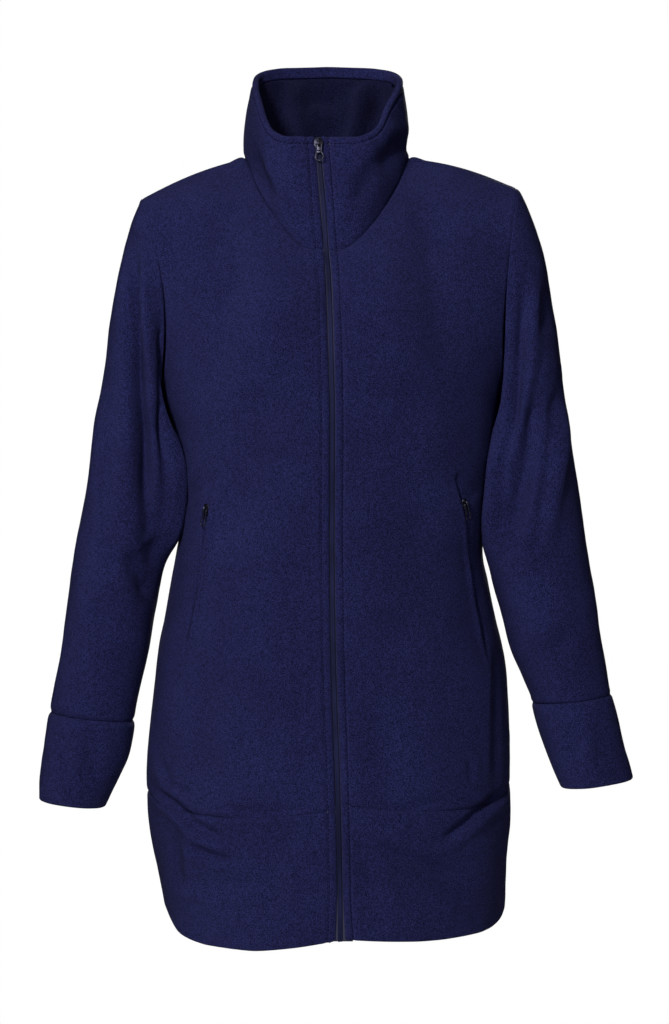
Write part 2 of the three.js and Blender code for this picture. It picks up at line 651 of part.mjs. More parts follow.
// How far sideways the body reaches at a given depth and height.
function bodyReach(side, y, z) {
  const towardsFront = y < column(GIRTHS, "z", "side", z);
  let far = 1;
  let near = towardsFront ? BODY_SIDE.front : BODY_SIDE.back;
  for (let step = 0; step < BISECTIONS; step += 1) {
    const middle = (near + far) / 2;
    const place = bodyPoint(side, z, middle).y;
    if (towardsFront ? place < y : place > y) near = middle;
    else far = middle;
  }
  return bodyPoint(side, z, far).x * SIDES[side];
}

// The sleeve lies against the body without entering it.
function clearOfBody(side, p) {
  const hangs = p.z < UNDERARM_Z && Math.abs(p.y) < ARMHOLES[side].front;
  if (!hangs) return p;
  const reach = bodyReach(side, p.y, p.z) + SLEEVE_CLEARANCE;
  return p.x * SIDES[side] < reach ? p.clone().setX(reach * SIDES[side]) : p;
}

function fromMiddle(line, j) {
  const middle = line.reduce((sum, p) => sum.add(p), point(0, 0, 0)).divideScalar(line.length);
  return line[j].clone().sub(middle).normalize();
}

function sleeve(side) {
  const rings = [ARMHOLES[side], ...SLEEVES[side]].map((row) => ring(side, row)).reverse();
  const worn = folded(rings, true, SLEEVE_FOLDS[side]);
  const tube = parted(worn.map((line) => line.map((p) => clearOfBody(side, p))), true);
  const top = tube.length - 1;
  const count = tube[0].length;
  const edge = (i, j) => {
    if (i === 0) return fromMiddle(tube[0], j);
    if (i !== top) return null;
    const place = side === "right" ? j : (count - j) % count;
    const facing = place <= YOKE_ROWS ? -1 : 1;
    const turn = (180 * (facing < 0 ? place : count - place)) / YOKE_ROWS;
    return armholeDirection(side, turn, facing);
  };
  add("sleeve_" + side, wall(tube, CLOTH, { closed: true, edge }), FLEECE);
}

function cuff(side) {
  const rings = [SLEEVES[side].at(-1), ...CUFFS[side]].map((row) => ring(side, row)).reverse();
  const tube = parted(rings, true);
  const edge = (i, j) => (i === tube.length - 1 ? fromMiddle(tube[i], j) : null);
  add("cuff_" + side, wall(tube, CLOTH, { closed: true, edge }), FLEECE);
}

// A point of the collar's outer face, from the neck seam (height 0) to the rim (height 1).
function collarPoint(side, round, height) {
  const base = neckPoint(side, round);
  const towardsZip = Math.max(0, 1 - round);
  const middle = column(CENTRE_FRONT, "z", "x", COLLAR_TOP_Z) * towardsZip;
  const rim = point(
    SIDES[side] * (column(COLLAR_RIM, "round", "out", round) + ZIP_SLIT * towardsZip) + middle,
    column(COLLAR_RIM, "round", "y", round),
    column(COLLAR_RIM, "round", "z", round),
  );
  const away = point(base.x, base.y, 0).normalize();
  const bulge = mix(COLLAR_BULGE.zip, COLLAR_BULGE.side, Math.min(1, 2 * round));
  return base.lerp(rim, height).addScaledVector(away, bulge * Math.sin(Math.PI * height));
}

function collar() {
  const front = steps(FRONT_NECK_COLUMNS);
  const behind = steps(BACK_NECK_COLUMNS, 1, 2).slice(1);
  const rounds = [...front, ...behind];
  const face = steps(COLLAR_ROWS).map((height) => {
    const left = rounds.map((round) => collarPoint("left", round, height));
    const right = rounds.slice(0, -1).map((round) => collarPoint("right", round, height));
    return [...left, ...right.reverse()];
  });
  const outerFace = parted(folded(face, false, COLLAR_FOLDS));
  const out = directions(outerFace, false);
  const top = outerFace.length - 1;
  const up = outerFace[top].map((p, j) => p.clone().sub(outerFace[top - 1][j]).normalize());
  const radius = RIM_ROLL / 2;
  const roll = steps(ROLL_STEPS, 0, Math.PI)
    .slice(1)
    .map((angle) =>
      outerFace[top].map((p, j) =>
        p
          .clone()
          .addScaledVector(out[top][j], radius * (Math.cos(angle) - 1))
          .addScaledVector(up[j], radius * Math.sin(angle)),
      ),
    );
  const tuck = roll.at(-1).map((p, j) => p.clone().addScaledVector(up[j], -STITCH_DEPTH));
  add("collar_outer", wall([...outerFace, ...roll, tuck], CLOTH), FLEECE);

  const inner = steps(COLLAR_ROWS).map((height) =>
    outerFace[0].map((_, j) => {
      const length = outerFace[top][j].distanceTo(outerFace[0][j]);
      const reach = height * (1 - (STITCH_DEPTH + 2 * SEAM) / length) * top;
      const below = Math.min(Math.floor(reach), top - 1);
      const p = outerFace[below][j].clone().lerp(outerFace[below + 1][j], reach - below);
      const n = out[below][j].clone().lerp(out[below + 1][j], reach - below).normalize();
      return p.addScaledVector(n, -RIM_ROLL);
    }),
  );
  add("collar_inner", wall(inner.map((line) => [...line].reverse()), CLOTH), FLEECE);
  return outerFace;
}

// The points along one front edge from the hem to the collar's rim, each with a point beside it.
function edgeRows(side, band, panel, collarFace) {
  const edgeOf = (line) => (side === "left" ? [line[0], line[1]] : [line.at(-1), line.at(-2)]);
  return [...band, ...panel, ...collarFace].map(edgeOf);
}

function zipTape(side, rows) {
  const strip = rows.map(([edge, beside]) => {
    const across = beside.clone().sub(edge).normalize();
    const start = edge.clone().addScaledVector(across, TAPE_SPACE / 2 - slit(edge.z));
    const end = edge.clone().addScaledVector(across, TAPE_WIDTH - slit(edge.z));
    return ordered(side, -1, [start, end]);
  });
  add("zip_tape_" + side, wall(strip, TAPE_WALL, { lift: -TAPE_DEPTH }), TAPE);
}

function zipChain(right, left) {
  const strip = right.map(([edge], i) => {
    const middle = edge.clone().lerp(left[i][0], 0.5);
    const half = left[i][0].clone().sub(edge).setLength(CHAIN_HALF);
    return [middle.clone().sub(half), middle.add(half)];
  });
  add("zip_chain", wall(strip, CHAIN_WALL, { lift: -CHAIN_DEPTH }), CHAIN);
}

// The spot of a panel's face that shows at one place of the front view, and its outward direction.
function faceAt(panel, x, z) {
  for (let i = 0; i < panel.length - 1; i += 1) {
    for (let j = 0; j < panel[0].length - 1; j += 1) {
      const [a, b, c, d] = [panel[i][j], panel[i][j + 1], panel[i + 1][j + 1], panel[i + 1][j]];
      for (const corners of [[a, b, c], [a, c, d]]) {
        const flat = corners.map((p) => point(p.x, p.z, 0));
        const weights = THREE.Triangle.getBarycoord(point(x, z, 0), ...flat, point(0, 0, 0));
        if (weights === null || Math.min(weights.x, weights.y, weights.z) < 0) continue;
        const [p, q, r] = corners;
        const place = point(0, 0, 0)
          .addScaledVector(p, weights.x)
          .addScaledVector(q, weights.y)
          .addScaledVector(r, weights.z);
        const out = q.clone().sub(p).cross(r.clone().sub(p)).normalize();
        return { place, out };
      }
    }
  }
  throw new Error("no cloth at " + x + ", " + z);
}

// A frame on the cloth: X across, Y into the cloth, Z up along the zip.
function frameOn(place, out, up) {
  const across = up.clone().cross(out).normalize();
  const rise = out.clone().cross(across).normalize();
  const group = new THREE.Group();
  group.applyMatrix4(
    new THREE.Matrix4().makeBasis(across, out.clone().negate(), rise).setPosition(place),
  );
  jacket.add(group);
  return group;
}

// Turns a shape's plane to stand: its X across or into the cloth, its Y up.
const ACROSS_PLANE = new THREE.Matrix4().makeBasis(point(1, 0, 0), point(0, 0, 1), point(0, -1, 0));
const SIDE_PLANE = new THREE.Matrix4().makeBasis(point(0, 1, 0), point(0, 0, 1), point(1, 0, 0));

function joined(first, second) {
  const solid = (geometry) => {
    const plain = geometry.clone();
    plain.deleteAttribute("normal");
    plain.deleteAttribute("uv");
    const merged = mergeVertices(plain, WELD);
    const vertProperties = merged.attributes.position.array;
    return new wasm.Manifold(
      new wasm.Mesh({ numProp: 3, vertProperties, triVerts: new Uint32Array(merged.index.array) }),
    );
  };
  const mesh = solid(first).add(solid(second)).getMesh();
  const geometry = new THREE.BufferGeometry();
  geometry.setAttribute("position", new THREE.BufferAttribute(mesh.vertProperties, 3));
  geometry.setIndex(new THREE.BufferAttribute(mesh.triVerts, 1));
  geometry.computeVertexNormals();
  return geometry;
}

// A slider: a plate on the zip, with a stem down to the chain where there is a slit, and a bail.
function slider(name, size, parent) {
  const half = size.width / 2;
  const stem = size.stemWidth / 2;
  const face = -ON_CLOTH - size.wall;
  const profile = new THREE.Shape();
  profile.moveTo(-half, face);
  profile.lineTo(half, face);
  profile.lineTo(half, -ON_CLOTH);
  if (size.stemDepth > 0) {
    profile.lineTo(stem, -ON_CLOTH);
    profile.lineTo(stem, size.stemDepth);
    profile.lineTo(-stem, size.stemDepth);
    profile.lineTo(-stem, -ON_CLOTH);
  }
  profile.lineTo(-half, -ON_CLOTH);
  const plate = new THREE.ExtrudeGeometry(profile, { depth: size.length, bevelEnabled: false });
  plate.translate(0, 0, -size.length / 2);

  const { outer, inner, width } = size.bail;
  const root = face + BAIL_ROOT;
  const centre = face - BAIL_RISE;
  const arch = new THREE.Shape();
  arch.moveTo(root, outer);
  arch.lineTo(centre, outer);
  arch.absarc(centre, 0, outer, Math.PI / 2, (3 * Math.PI) / 2, false);
  arch.lineTo(root, -outer);
  arch.lineTo(root, -inner);
  arch.lineTo(centre, -inner);
  arch.absarc(centre, 0, inner, (3 * Math.PI) / 2, Math.PI / 2, true);
  arch.lineTo(root, inner);
  const bail = new THREE.ExtrudeGeometry(arch, {
    depth: width,
    bevelEnabled: false,
    curveSegments: CURVE_STEPS,
  });
  bail.translate(0, 0, -width / 2);
  bail.applyMatrix4(SIDE_PLANE);
  add(name, joined(plate, bail), METAL, parent);
}

// A pull hangs from the bail by its crossbar and ends in a round loop.
function pull(name, size, sliderSize, parent) {
  const neck = size.neck / 2;
  const half = size.width / 2;
  const bar = size.bar / 2;
  const tip = -size.length + half;
  const shape = new THREE.Shape();
  shape.moveTo(-neck, bar);
  shape.lineTo(-neck, -size.eye - size.bar);
  shape.lineTo(-half, -size.shoulder);
  shape.lineTo(-half, tip);
  shape.absarc(0, tip, half, Math.PI, 2 * Math.PI, false);
  shape.lineTo(half, -size.shoulder);
  shape.lineTo(neck, -size.eye - size.bar);
  shape.lineTo(neck, bar);
  const eyeHalf = sliderSize.bail.width / 2 + BAIL_PLAY;
  const eye = new THREE.Path();
  eye.moveTo(-eyeHalf, -bar);
  eye.lineTo(eyeHalf, -bar);
  eye.lineTo(eyeHalf, -size.eye);
  eye.lineTo(-eyeHalf, -size.eye);
  const loopHalf = size.loop / 2;
  const loop = new THREE.Path();
  loop.moveTo(loopHalf, -size.shoulder - loopHalf);
  loop.lineTo(loopHalf, tip);
  loop.absarc(0, tip, loopHalf, 0, -Math.PI, true);
  loop.lineTo(-loopHalf, -size.shoulder - loopHalf);
  loop.absarc(0, -size.shoulder - loopHalf, loopHalf, Math.PI, 0, true);
  shape.holes.push(eye, loop);
  const geometry = new THREE.ExtrudeGeometry(shape, {
    depth: size.bar,
    bevelEnabled: false,
    curveSegments: CURVE_STEPS,
  });
  geometry.translate(0, 0, -size.bar / 2);
  geometry.applyMatrix4(ACROSS_PLANE);
  geometry.translate(0, -ON_CLOTH - sliderSize.wall - PULL_RISE, 0);
  add(name, geometry, METAL, parent);
}

function mainSlider() {
  const place = centreFront(MAIN_SLIDER.z);
  const half = MAIN_SLIDER.length / 2;
  const up = centreFront(MAIN_SLIDER.z + half).sub(centreFront(MAIN_SLIDER.z - half)).normalize();
  const out = up.clone().cross(point(1, 0, 0)).normalize();
  const frame = frameOn(place, out.y < 0 ? out : out.negate(), up);
  slider("zip_slider", MAIN_SLIDER, frame);
  pull("zip_pull", MAIN_PULL, MAIN_SLIDER, frame);
}

function pocket(side, panel) {
  const line = POCKET_LINES[side];
  const count = Math.round((line[0].z - line.at(-1).z) / POCKET_STEP);
  const strip = steps(count).map((part) => {
    const z = mix(line.at(-1).z, line[0].z, part);
    const x = column(line, "z", "x", z);
    return [x - POCKET_ZIP_HALF, x + POCKET_ZIP_HALF].map((edge) => faceAt(panel, edge, z).place);
  });
  const lift = ON_CLOTH + POCKET_ZIP_WALL;
  add("pocket_zip_" + side, wall(strip, POCKET_ZIP_WALL, { lift }), CHAIN);

  const top = strip[count - 1];
  const middle = top[0].clone().lerp(top[1], 0.5);
  const below = strip[count - 2][0].clone().lerp(strip[count - 2][1], 0.5);
  const up = middle.clone().sub(below).normalize();
  const out = top[1].clone().sub(top[0]).cross(up).normalize();
  const frame = frameOn(middle.addScaledVector(out, lift), out, up);
  slider("pocket_slider_" + side, POCKET_SLIDER, frame);
  pull("pocket_pull_" + side, POCKET_PULL, POCKET_SLIDER, frame);
}

const panels = { right: frontPanel("right"), left: frontPanel("left") };
backPanel();
const bands = { right: frontBand("right"), left: frontBand("left") };
backBand();
const collarFace = collar();
const edges = {};
for (const side of Object.keys(SIDES)) {
  sleeve(side);
  cuff(side);
  pocket(side, panels[side]);
  edges[side] = edgeRows(side, bands[side], panels[side], collarFace);
  zipTape(side, edges[side]);
}
zipChain(edges.right, edges.left);
mainSlider();

export default jacket;
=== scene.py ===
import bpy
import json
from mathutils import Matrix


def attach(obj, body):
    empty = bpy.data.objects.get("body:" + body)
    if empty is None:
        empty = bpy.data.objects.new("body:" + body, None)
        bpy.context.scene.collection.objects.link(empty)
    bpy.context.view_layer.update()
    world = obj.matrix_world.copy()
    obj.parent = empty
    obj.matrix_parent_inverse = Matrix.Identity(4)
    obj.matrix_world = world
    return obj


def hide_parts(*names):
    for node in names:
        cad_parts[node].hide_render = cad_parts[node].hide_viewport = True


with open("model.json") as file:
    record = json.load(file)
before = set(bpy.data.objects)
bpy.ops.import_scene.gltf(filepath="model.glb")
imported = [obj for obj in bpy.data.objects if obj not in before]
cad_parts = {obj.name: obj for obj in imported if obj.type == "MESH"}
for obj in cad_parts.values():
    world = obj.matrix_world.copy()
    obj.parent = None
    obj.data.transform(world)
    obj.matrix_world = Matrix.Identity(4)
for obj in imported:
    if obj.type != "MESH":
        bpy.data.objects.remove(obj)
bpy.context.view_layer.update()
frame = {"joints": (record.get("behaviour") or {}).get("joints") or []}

import json
import math
from collections import namedtuple

import bmesh
import bpy
import numpy as np
from mathutils import Matrix, Vector, noise

MM = 0.001

# Cloth and seams
CLOTH = 2.4
TAPE_WALL = 0.8
TAPE_WIDTH = 13
TAPE_SPACE = 0.6
TAPE_DEPTH = 3.2
ZIP_SLIT = 3.2
UNDERARM_Z = -262
NECK_START_Z = -102
COLLAR_TOP_Z = 15
BAND_SEAM_Z = -686
BAND_HEM_Z = -821
HEM_SLIT = 5.6
HEM_SLIT_START_Z = -776
RIM_ROLL = 7.3
STITCH_DEPTH = 9
SHOULDER_ARCH = {"right": 4.5, "left": 5.5}
SLEEVE_CLEARANCE = 1.5
BODY_SIDE = {"front": 0.3, "back": 0.3}
SAG_FADE = 3
ARM_BOW = 0.9
BACK_LEAN = 0.5
BUST_FULLNESS = 9
BACK_FULLNESS = 5
COLLAR_BULGE = {"zip": 1, "side": 3}
HEM_ROLL = 2.6
HEM_TURN = 22
ZIP_STITCH = 8.2
RIM_STITCH = 8.5

# Rows and columns of the cut's own grid, which finer grids are drawn from
LOWER_ROWS = 13
YOKE_ROWS = 10
BAND_ROWS = 5
COLLAR_ROWS = 6
FRONT_COLUMNS = 11
FRONT_NECK_COLUMNS = 5
BACK_COLUMNS = 10
BACK_NECK_COLUMNS = 4
FRONT_SMOOTHING = 2
BACK_SMOOTHING = 8

FRONT = -1
BACK = 1
AROUND = 0
SIDES = {"right": -1, "left": 1}
FRONT_NECK_PART = FRONT_NECK_COLUMNS / FRONT_COLUMNS
BACK_NECK_PART = BACK_NECK_COLUMNS / BACK_COLUMNS

# Centre front: the zip's sideways place and its depth
Zip = namedtuple("Zip", "z x y")
CENTRE_FRONT = (
    Zip(-832, 14.3, -134),
    Zip(-740, 13.3, -136),
    Zip(-648, 11, -134),
    Zip(-517, 6.8, -130),
    Zip(-393, 5.5, -127),
    Zip(-280, 6, -137),
    Zip(-215, 4.7, -138),
    Zip(-161, 3.2, -123),
    Zip(-125, 1.6, -108),
    Zip(-102, -0.6, -98),
    Zip(-58, -3.4, -92),
    Zip(-16, -7, -87),
    Zip(16, -9.2, -80),
)

# Girth below the underarms: side seams, their depth, the centre back, and how the cloth rounds
Girth = namedtuple("Girth", "z right left side back reach turn")
GIRTHS = (
    Girth(-832, 172, 188, 18, 120, 0.66, 0.56),
    Girth(-805, 177.5, 194.5, 20, 123, 0.66, 0.56),
    Girth(-761, 187, 196.3, 20, 126, 0.66, 0.56),
    Girth(-717, 194, 198.4, 20, 127, 0.66, 0.56),
    Girth(-690, 196.3, 199, 20, 126, 0.66, 0.56),
    Girth(-650, 195.2, 199.4, 20, 124, 0.67, 0.57),
    Girth(-608, 192.9, 199, 20, 121, 0.67, 0.57),
    Girth(-564, 187.4, 195.9, 20, 116, 0.67, 0.57),
    Girth(-500, 177.5, 184.5, 19, 104, 0.68, 0.58),
    Girth(-455, 169.8, 174, 18, 95, 0.7, 0.58),
    Girth(-425, 164.5, 169.3, 17, 90, 0.7, 0.58),
    Girth(-400, 159.4, 171.5, 16, 88, 0.7, 0.58),
    Girth(-350, 156.5, 177.5, 14, 92, 0.7, 0.58),
    Girth(-300, 163.5, 184, 13, 108, 0.66, 0.56),
    Girth(-262, 180, 189, 12, 118, 0.62, 0.56),
)

# Band seam and hem from the zip (0) to the side (1) and the centre back (2)
Band = namedtuple("Band", "round seam_right seam_left hem_right hem_left")
BAND_LINES = (
    Band(0, -686, -680, -823, -822),
    Band(0.12, -692, -685.5, -830, -824),
    Band(0.3, -696, -689, -835.5, -826),
    Band(0.5, -695.5, -690, -835.5, -825),
    Band(0.7, -691, -688, -831, -824),
    Band(0.85, -684, -680, -817, -818),
    Band(1, -682, -672, -801, -803),
    Band(1.3, -686, -682, -810, -810),
    Band(2, -690, -690, -820, -820),
)

# Neck seam from the zip (0) over the neck point (1) to the centre back (2)
Neck = namedtuple("Neck", "round out y z")
NECK = (
    Neck(0, 0, -98, -102),
    Neck(0.2, 18, -96, -100),
    Neck(0.38, 34, -90, -88),
    Neck(0.52, 47, -79, -73),
    Neck(0.66, 61, -62, -55),
    Neck(0.78, 73, -40, -34),
    Neck(0.9, 84, -14, -12),
    Neck(1, 89, 10, 2),
    Neck(1.2, 84, 38, 9),
    Neck(1.5, 58, 62, 15),
    Neck(2, 0, 75, 19),
)

COLLAR_RIM = (
    Neck(0, 0, -80, 14),
    Neck(0.2, 20, -80, 14),
    Neck(0.38, 38, -77, 15),
    Neck(0.52, 52, -69, 20),
    Neck(0.66, 62, -53, 34),
    Neck(0.78, 70, -34, 52),
    Neck(0.9, 77, -9, 69),
    Neck(1, 81, 16, 80),
    Neck(1.2, 80, 50, 92),
    Neck(1.5, 57, 77, 101),
    Neck(2, 0, 90, 104),
)

# Centre back above the underarms
Spine = namedtuple("Spine", "z y")
BACK_CENTRE = (
    Spine(-262, 118),
    Spine(-215, 122),
    Spine(-160, 121),
    Spine(-105, 115),
    Spine(-50, 101),
    Spine(19, 75),
)

# Rings around the arm: outer and inner ends, how far they reach to front and back, and their inset
Ring = namedtuple("Ring", "outer outer_z inner inner_z inner_y front back inset")
ARMHOLES = {
    "right": Ring(200, -43, 180, -262, 12, 70, 64, 18),
    "left": Ring(205, -32, 189, -262, 12, 70, 64, 8),
}
SLEEVES = {
    "right": (
        Ring(211, -71, 177, -270, -16, 72, 67, 13),
        Ring(219.5, -108, 169, -281, -32, 73, 69, 7),
        Ring(228.3, -150, 160, -294, -40, 73, 70, 2),
        Ring(235.3, -195, 154, -309, -44, 73, 70, 0),
        Ring(242.3, -240, 150, -328, -46, 73, 68, 0),
        Ring(249.3, -286, 149, -350, -44, 72, 66, 0),
        Ring(256.6, -334, 151, -378, -42, 71, 65, 0),
        Ring(265, -384, 157, -407, -32, 69, 63, 0),
        Ring(272.7, -425, 175, -439, -12, 67, 60, 0),
        Ring(278.6, -465, 183.5, -479, -5, 66, 56, 0),
        Ring(284.5, -505, 191.5, -518, -8, 65, 50, 0),
        Ring(290.5, -548, 199, -557, -10, 64, 44, 0),
        Ring(298, -594, 208.5, -604, -12, 61, 38, 0),
    ),
    "left": (
        Ring(218, -57, 185, -270, -16, 72, 67, 7),
        Ring(230, -93, 180, -281, -32, 73, 69, 4),
        Ring(239.5, -134, 175, -295, -40, 73, 70, 1),
        Ring(246.3, -180, 172, -313, -44, 73, 70, 0),
        Ring(252.2, -226, 169, -333, -46, 73, 68, 0),
        Ring(259.3, -276, 167, -357, -44, 72, 66, 0),
        Ring(267.3, -327, 165, -384, -42, 71, 65, 0),
        Ring(275, -378, 166, -413, -32, 69, 63, 0),
        Ring(281.2, -425, 176, -445, -12, 67, 60, 0),
        Ring(287, -462, 187.5, -486, -5, 66, 56, 0),
        Ring(293.2, -501, 198, -525, -8, 65, 50, 0),
        Ring(300.2, -541, 211, -560, -10, 64, 44, 0),
        Ring(306, -575, 221, -585, -12, 61, 38, 0),
    ),
}
CUFFS = {
    "right": (
        Ring(301, -604, 208.5, -614, -12, 63, 40, 0),
        Ring(305, -633, 214.5, -644, -14, 63, 36, 0),
        Ring(309.6, -667, 229, -677, -16, 60, 28, 0),
        Ring(310.8, -689, 238.5, -698, -17, 56, 22, 0),
    ),
    "left": (
        Ring(309.5, -585, 221.5, -596, -12, 63, 40, 0),
        Ring(317.5, -622, 231.5, -628, -14, 63, 36, 0),
        Ring(325, -647, 244, -658, -16, 60, 28, 0),
        Ring(329, -666, 253, -677, -17, 56, 22, 0),
    ),
}

# Pocket zips down the sides of the fronts, from top to bottom
Spot = namedtuple("Spot", "x z")
POCKETS = {
    "right": (
        Spot(-123, -366),
        Spot(-126.4, -387),
        Spot(-129.6, -414),
        Spot(-134, -443),
        Spot(-140.5, -476),
        Spot(-148, -512),
    ),
    "left": (
        Spot(141, -360),
        Spot(145.6, -383),
        Spot(150.5, -415),
        Spot(154.6, -443),
        Spot(160, -476),
        Spot(167.7, -513),
    ),
}

# Creases: the line of each in the front view, half its width, how deep it sinks, and how high the
# cloth stands beside it. A negative ridge stands on the other side of the line.
Crease = namedtuple("Crease", "half depth ridge facing line")
BODY_CREASES = (
    Crease(13, 1.6, 0.6, FRONT, ((-102, -48), (-118, -112))),
    Crease(14, 1.3, -0.5, FRONT, ((112, -46), (126, -118))),
    Crease(26, 2.6, 1.2, FRONT, ((-70, -250), (-84, -340), (-96, -420))),
    Crease(24, 2.0, -1.0, FRONT, ((78, -260), (92, -350), (100, -430))),
    Crease(5, 1.8, 0.8, FRONT, ((-180, -640), (-166, -668), (-140, -676))),
    Crease(4, 1.6, -0.8, FRONT, ((152, -636), (153, -664))),
    Crease(5, 1.6, 0.7, FRONT, ((182, -520), (179, -600), (180, -668))),
    Crease(17, 2.2, -0.8, FRONT, ((-128, -552), (-135, -650))),
    Crease(20, 1.8, 0.8, FRONT, ((60, -560), (64, -668))),
    Crease(12, 1.8, 0.9, FRONT, ((-154, -372), (-118, -336))),
    Crease(12, 1.6, -0.8, FRONT, ((160, -366), (132, -336))),
    Crease(16, 2.4, 1.0, BACK, ((-150, -330), (-96, -352), (-40, -350))),
    Crease(15, 2.6, 1.2, BACK, ((152, -318), (104, -344), (34, -362))),
    Crease(12, 2.0, -0.9, BACK, ((-120, -384), (-52, -394))),
    Crease(18, 1.8, 0.8, BACK, ((-104, -44), (-124, -150))),
    Crease(18, 1.6, -0.8, BACK, ((112, -48), (128, -160))),
    Crease(8, 1.8, 0.8, BACK, ((-150, -630), (-120, -684))),
)
BAND_CREASES = (
    Crease(6, 3.6, 1.8, FRONT, ((-186, -674), (-160, -690), (-140, -706), (-102, -722))),
    Crease(5, 2.6, 1.6, FRONT, ((-148, -728), (-122, -738), (-96, -742))),
    Crease(9, 1.6, 0.9, FRONT, ((-156, -766), (-120, -770), (-68, -762))),
    Crease(8, 2.4, -1.8, FRONT, ((-160, -716), (-158, -772))),
    Crease(6, 3.8, -2.0, FRONT, ((194, -674), (166, -692), (132, -714), (116, -720))),
    Crease(8, 2.8, 1.4, FRONT, ((44, -722), (84, -736), (120, -752), (152, -762))),
    Crease(12, 1.8, 1.0, FRONT, ((28, -712), (44, -740), (46, -786))),
    Crease(12, 1.6, -0.8, FRONT, ((-40, -702), (-58, -748), (-52, -792))),
    Crease(5, 1.6, 0.9, FRONT, ((-112, -684), (-70, -690), (-24, -684))),
    Crease(5, 1.4, 0.8, FRONT, ((40, -680), (84, -684), (140, -678))),
    Crease(9, 2.0, 1.2, FRONT, ((120, -764), (150, -790))),
    Crease(7, 2.2, 1.0, BACK, ((-160, -706), (-118, -724), (-80, -727))),
    Crease(7, 2.4, -1.0, BACK, ((158, -702), (122, -722), (78, -733))),
    Crease(11, 1.6, 0.8, BACK, ((-30, -712), (-42, -780))),
    Crease(10, 1.6, -0.8, BACK, ((60, -734), (66, -796))),
)
COLLAR_CREASES = (
    Crease(9, 3.0, 1.8, FRONT, ((64, 14), (52, -12), (30, -56))),
    Crease(9, 3.4, 1.8, AROUND, ((90, 18), (76, 10), (62, -20))),
    Crease(8, 2.8, -1.8, FRONT, ((-80, 2), (-70, -22), (-54, -52))),
    Crease(7, 1.8, 1.0, FRONT, ((-56, 0), (-44, -40), (-30, -66))),
    Crease(9, 1.4, 0.8, FRONT, ((40, 2), (30, -40))),
    Crease(12, 2.0, 1.0, BACK, ((-60, 34), (-20, 48), (34, 44))),
    Crease(12, 1.4, -0.8, BACK, ((60, 76), (30, 62))),
)
LINING_CREASES = (
    Crease(10, 2.2, -4.5, FRONT, ((-54, 92), (-50, 50), (-36, 4))),
    Crease(10, 2.2, 4.5, FRONT, ((58, 90), (52, 50), (40, 8))),
    Crease(9, 1.6, 1.8, FRONT, ((-14, 74), (10, 66))),
)
SLEEVE_CREASES = {
    "right": (
        Crease(8, 10.0, -4.4, FRONT, ((-207, -90), (-205, -180), (-200, -240), (-193, -318), (-188, -400))),
        Crease(20, 10.0, 0.0, FRONT, ((-186, -250), (-180, -330), (-174, -380), (-180, -460))),
        Crease(6, 4.0, 1.2, FRONT, ((-174, -170), (-171, -240), (-169, -300), (-166, -350))),
        Crease(9, 4.0, 1.6, FRONT, ((-212, -420), (-196, -452), (-186, -470))),
        Crease(12, 2.4, 1.4, FRONT, ((-226, -250), (-232, -320), (-236, -380))),
        Crease(9, 2.0, 1.0, FRONT, ((-196, -80), (-188, -130))),
        Crease(13, 2.4, -1.0, FRONT, ((-236, -404), (-214, -438))),
        Crease(10, 1.8, 0.8, FRONT, ((-250, -470), (-226, -500))),
        Crease(13, 3.6, 1.6, BACK, ((-196, -250), (-206, -320), (-226, -372))),
        Crease(12, 3.2, -1.4, BACK, ((-250, -376), (-218, -412), (-192, -424))),
        Crease(10, 2.4, 1.0, BACK, ((-262, -430), (-232, -452))),
        Crease(9, 1.8, 0.8, BACK, ((-270, -520), (-240, -540))),
    ),
    "left": (
        Crease(7, 5.4, -2.4, FRONT, ((210, -130), (204, -219), (197, -268), (192, -307))),
        Crease(14, 9.5, -3.6, FRONT, ((224, -250), (213, -315), (202, -360), (192, -410))),
        Crease(8, 5.0, -2.6, FRONT, ((248, -240), (240, -297), (230, -350), (221, -410))),
        Crease(14, 4.0, 0.0, FRONT, ((196, -180), (190, -260), (184, -340))),
        Crease(7, 3.0, 1.0, FRONT, ((186, -300), (182, -360), (180, -410))),
        Crease(12, 2.4, 1.2, FRONT, ((236, -140), (230, -190))),
        Crease(12, 2.4, 1.0, FRONT, ((262, -500), (238, -528))),
        Crease(13, 3.4, 1.4, BACK, ((198, -250), (210, -320), (232, -378))),
        Crease(12, 3.0, -1.2, BACK, ((262, -372), (230, -410), (204, -426))),
        Crease(10, 2.4, 1.0, BACK, ((268, -430), (240, -456))),
    ),
}
CUFF_CREASES = {
    "right": (
        Crease(9, 1.4, 0.8, FRONT, ((-282, -612), (-276, -660))),
        Crease(8, 1.4, -0.7, FRONT, ((-246, -622), (-252, -672))),
        Crease(9, 1.4, 0.7, BACK, ((-270, -618), (-268, -670))),
    ),
    "left": (
        Crease(9, 1.4, 0.8, FRONT, ((290, -600), (296, -648))),
        Crease(8, 1.4, -0.7, FRONT, ((258, -606), (268, -654))),
        Crease(9, 1.4, 0.7, BACK, ((282, -600), (290, -650))),
    ),
}
CREASE_TAPER = 0.22
CREASE_FULLNESS = 1.8
LUMP_SIZE = 62
LUMP_HEIGHT = 2.4
RIPPLE_SIZE = 17
RIPPLE_HEIGHT = 0.35
HELD_REACH = 8

# A seam or a line of stitches: its border, how far in it lies, its depth and half its width
Seam = namedtuple("Seam", "border at depth half")
EDGE_STEPS = (0, 1.1, 2.3, 3.8, 5.8, 8.4)
ZIP_STEPS = (0, 0.7, 1.5, 2.6, 4.2, 5.8, 6.8, 7.5, 8.2, 8.9, 9.6, 10.8, 12.6)
PLAIN_STEPS = (0,)
PITCH = 3.6


# Points and tables
def point(x, y, z):
    return np.stack(np.broadcast_arrays(x, y, z), axis=-1).astype(float)


def blend(a, b, part):
    """Between two points or two arrays of points."""
    return a + (b - a) * np.asarray(part, float)[..., None]


def mix(a, b, part):
    return a + (b - a) * part


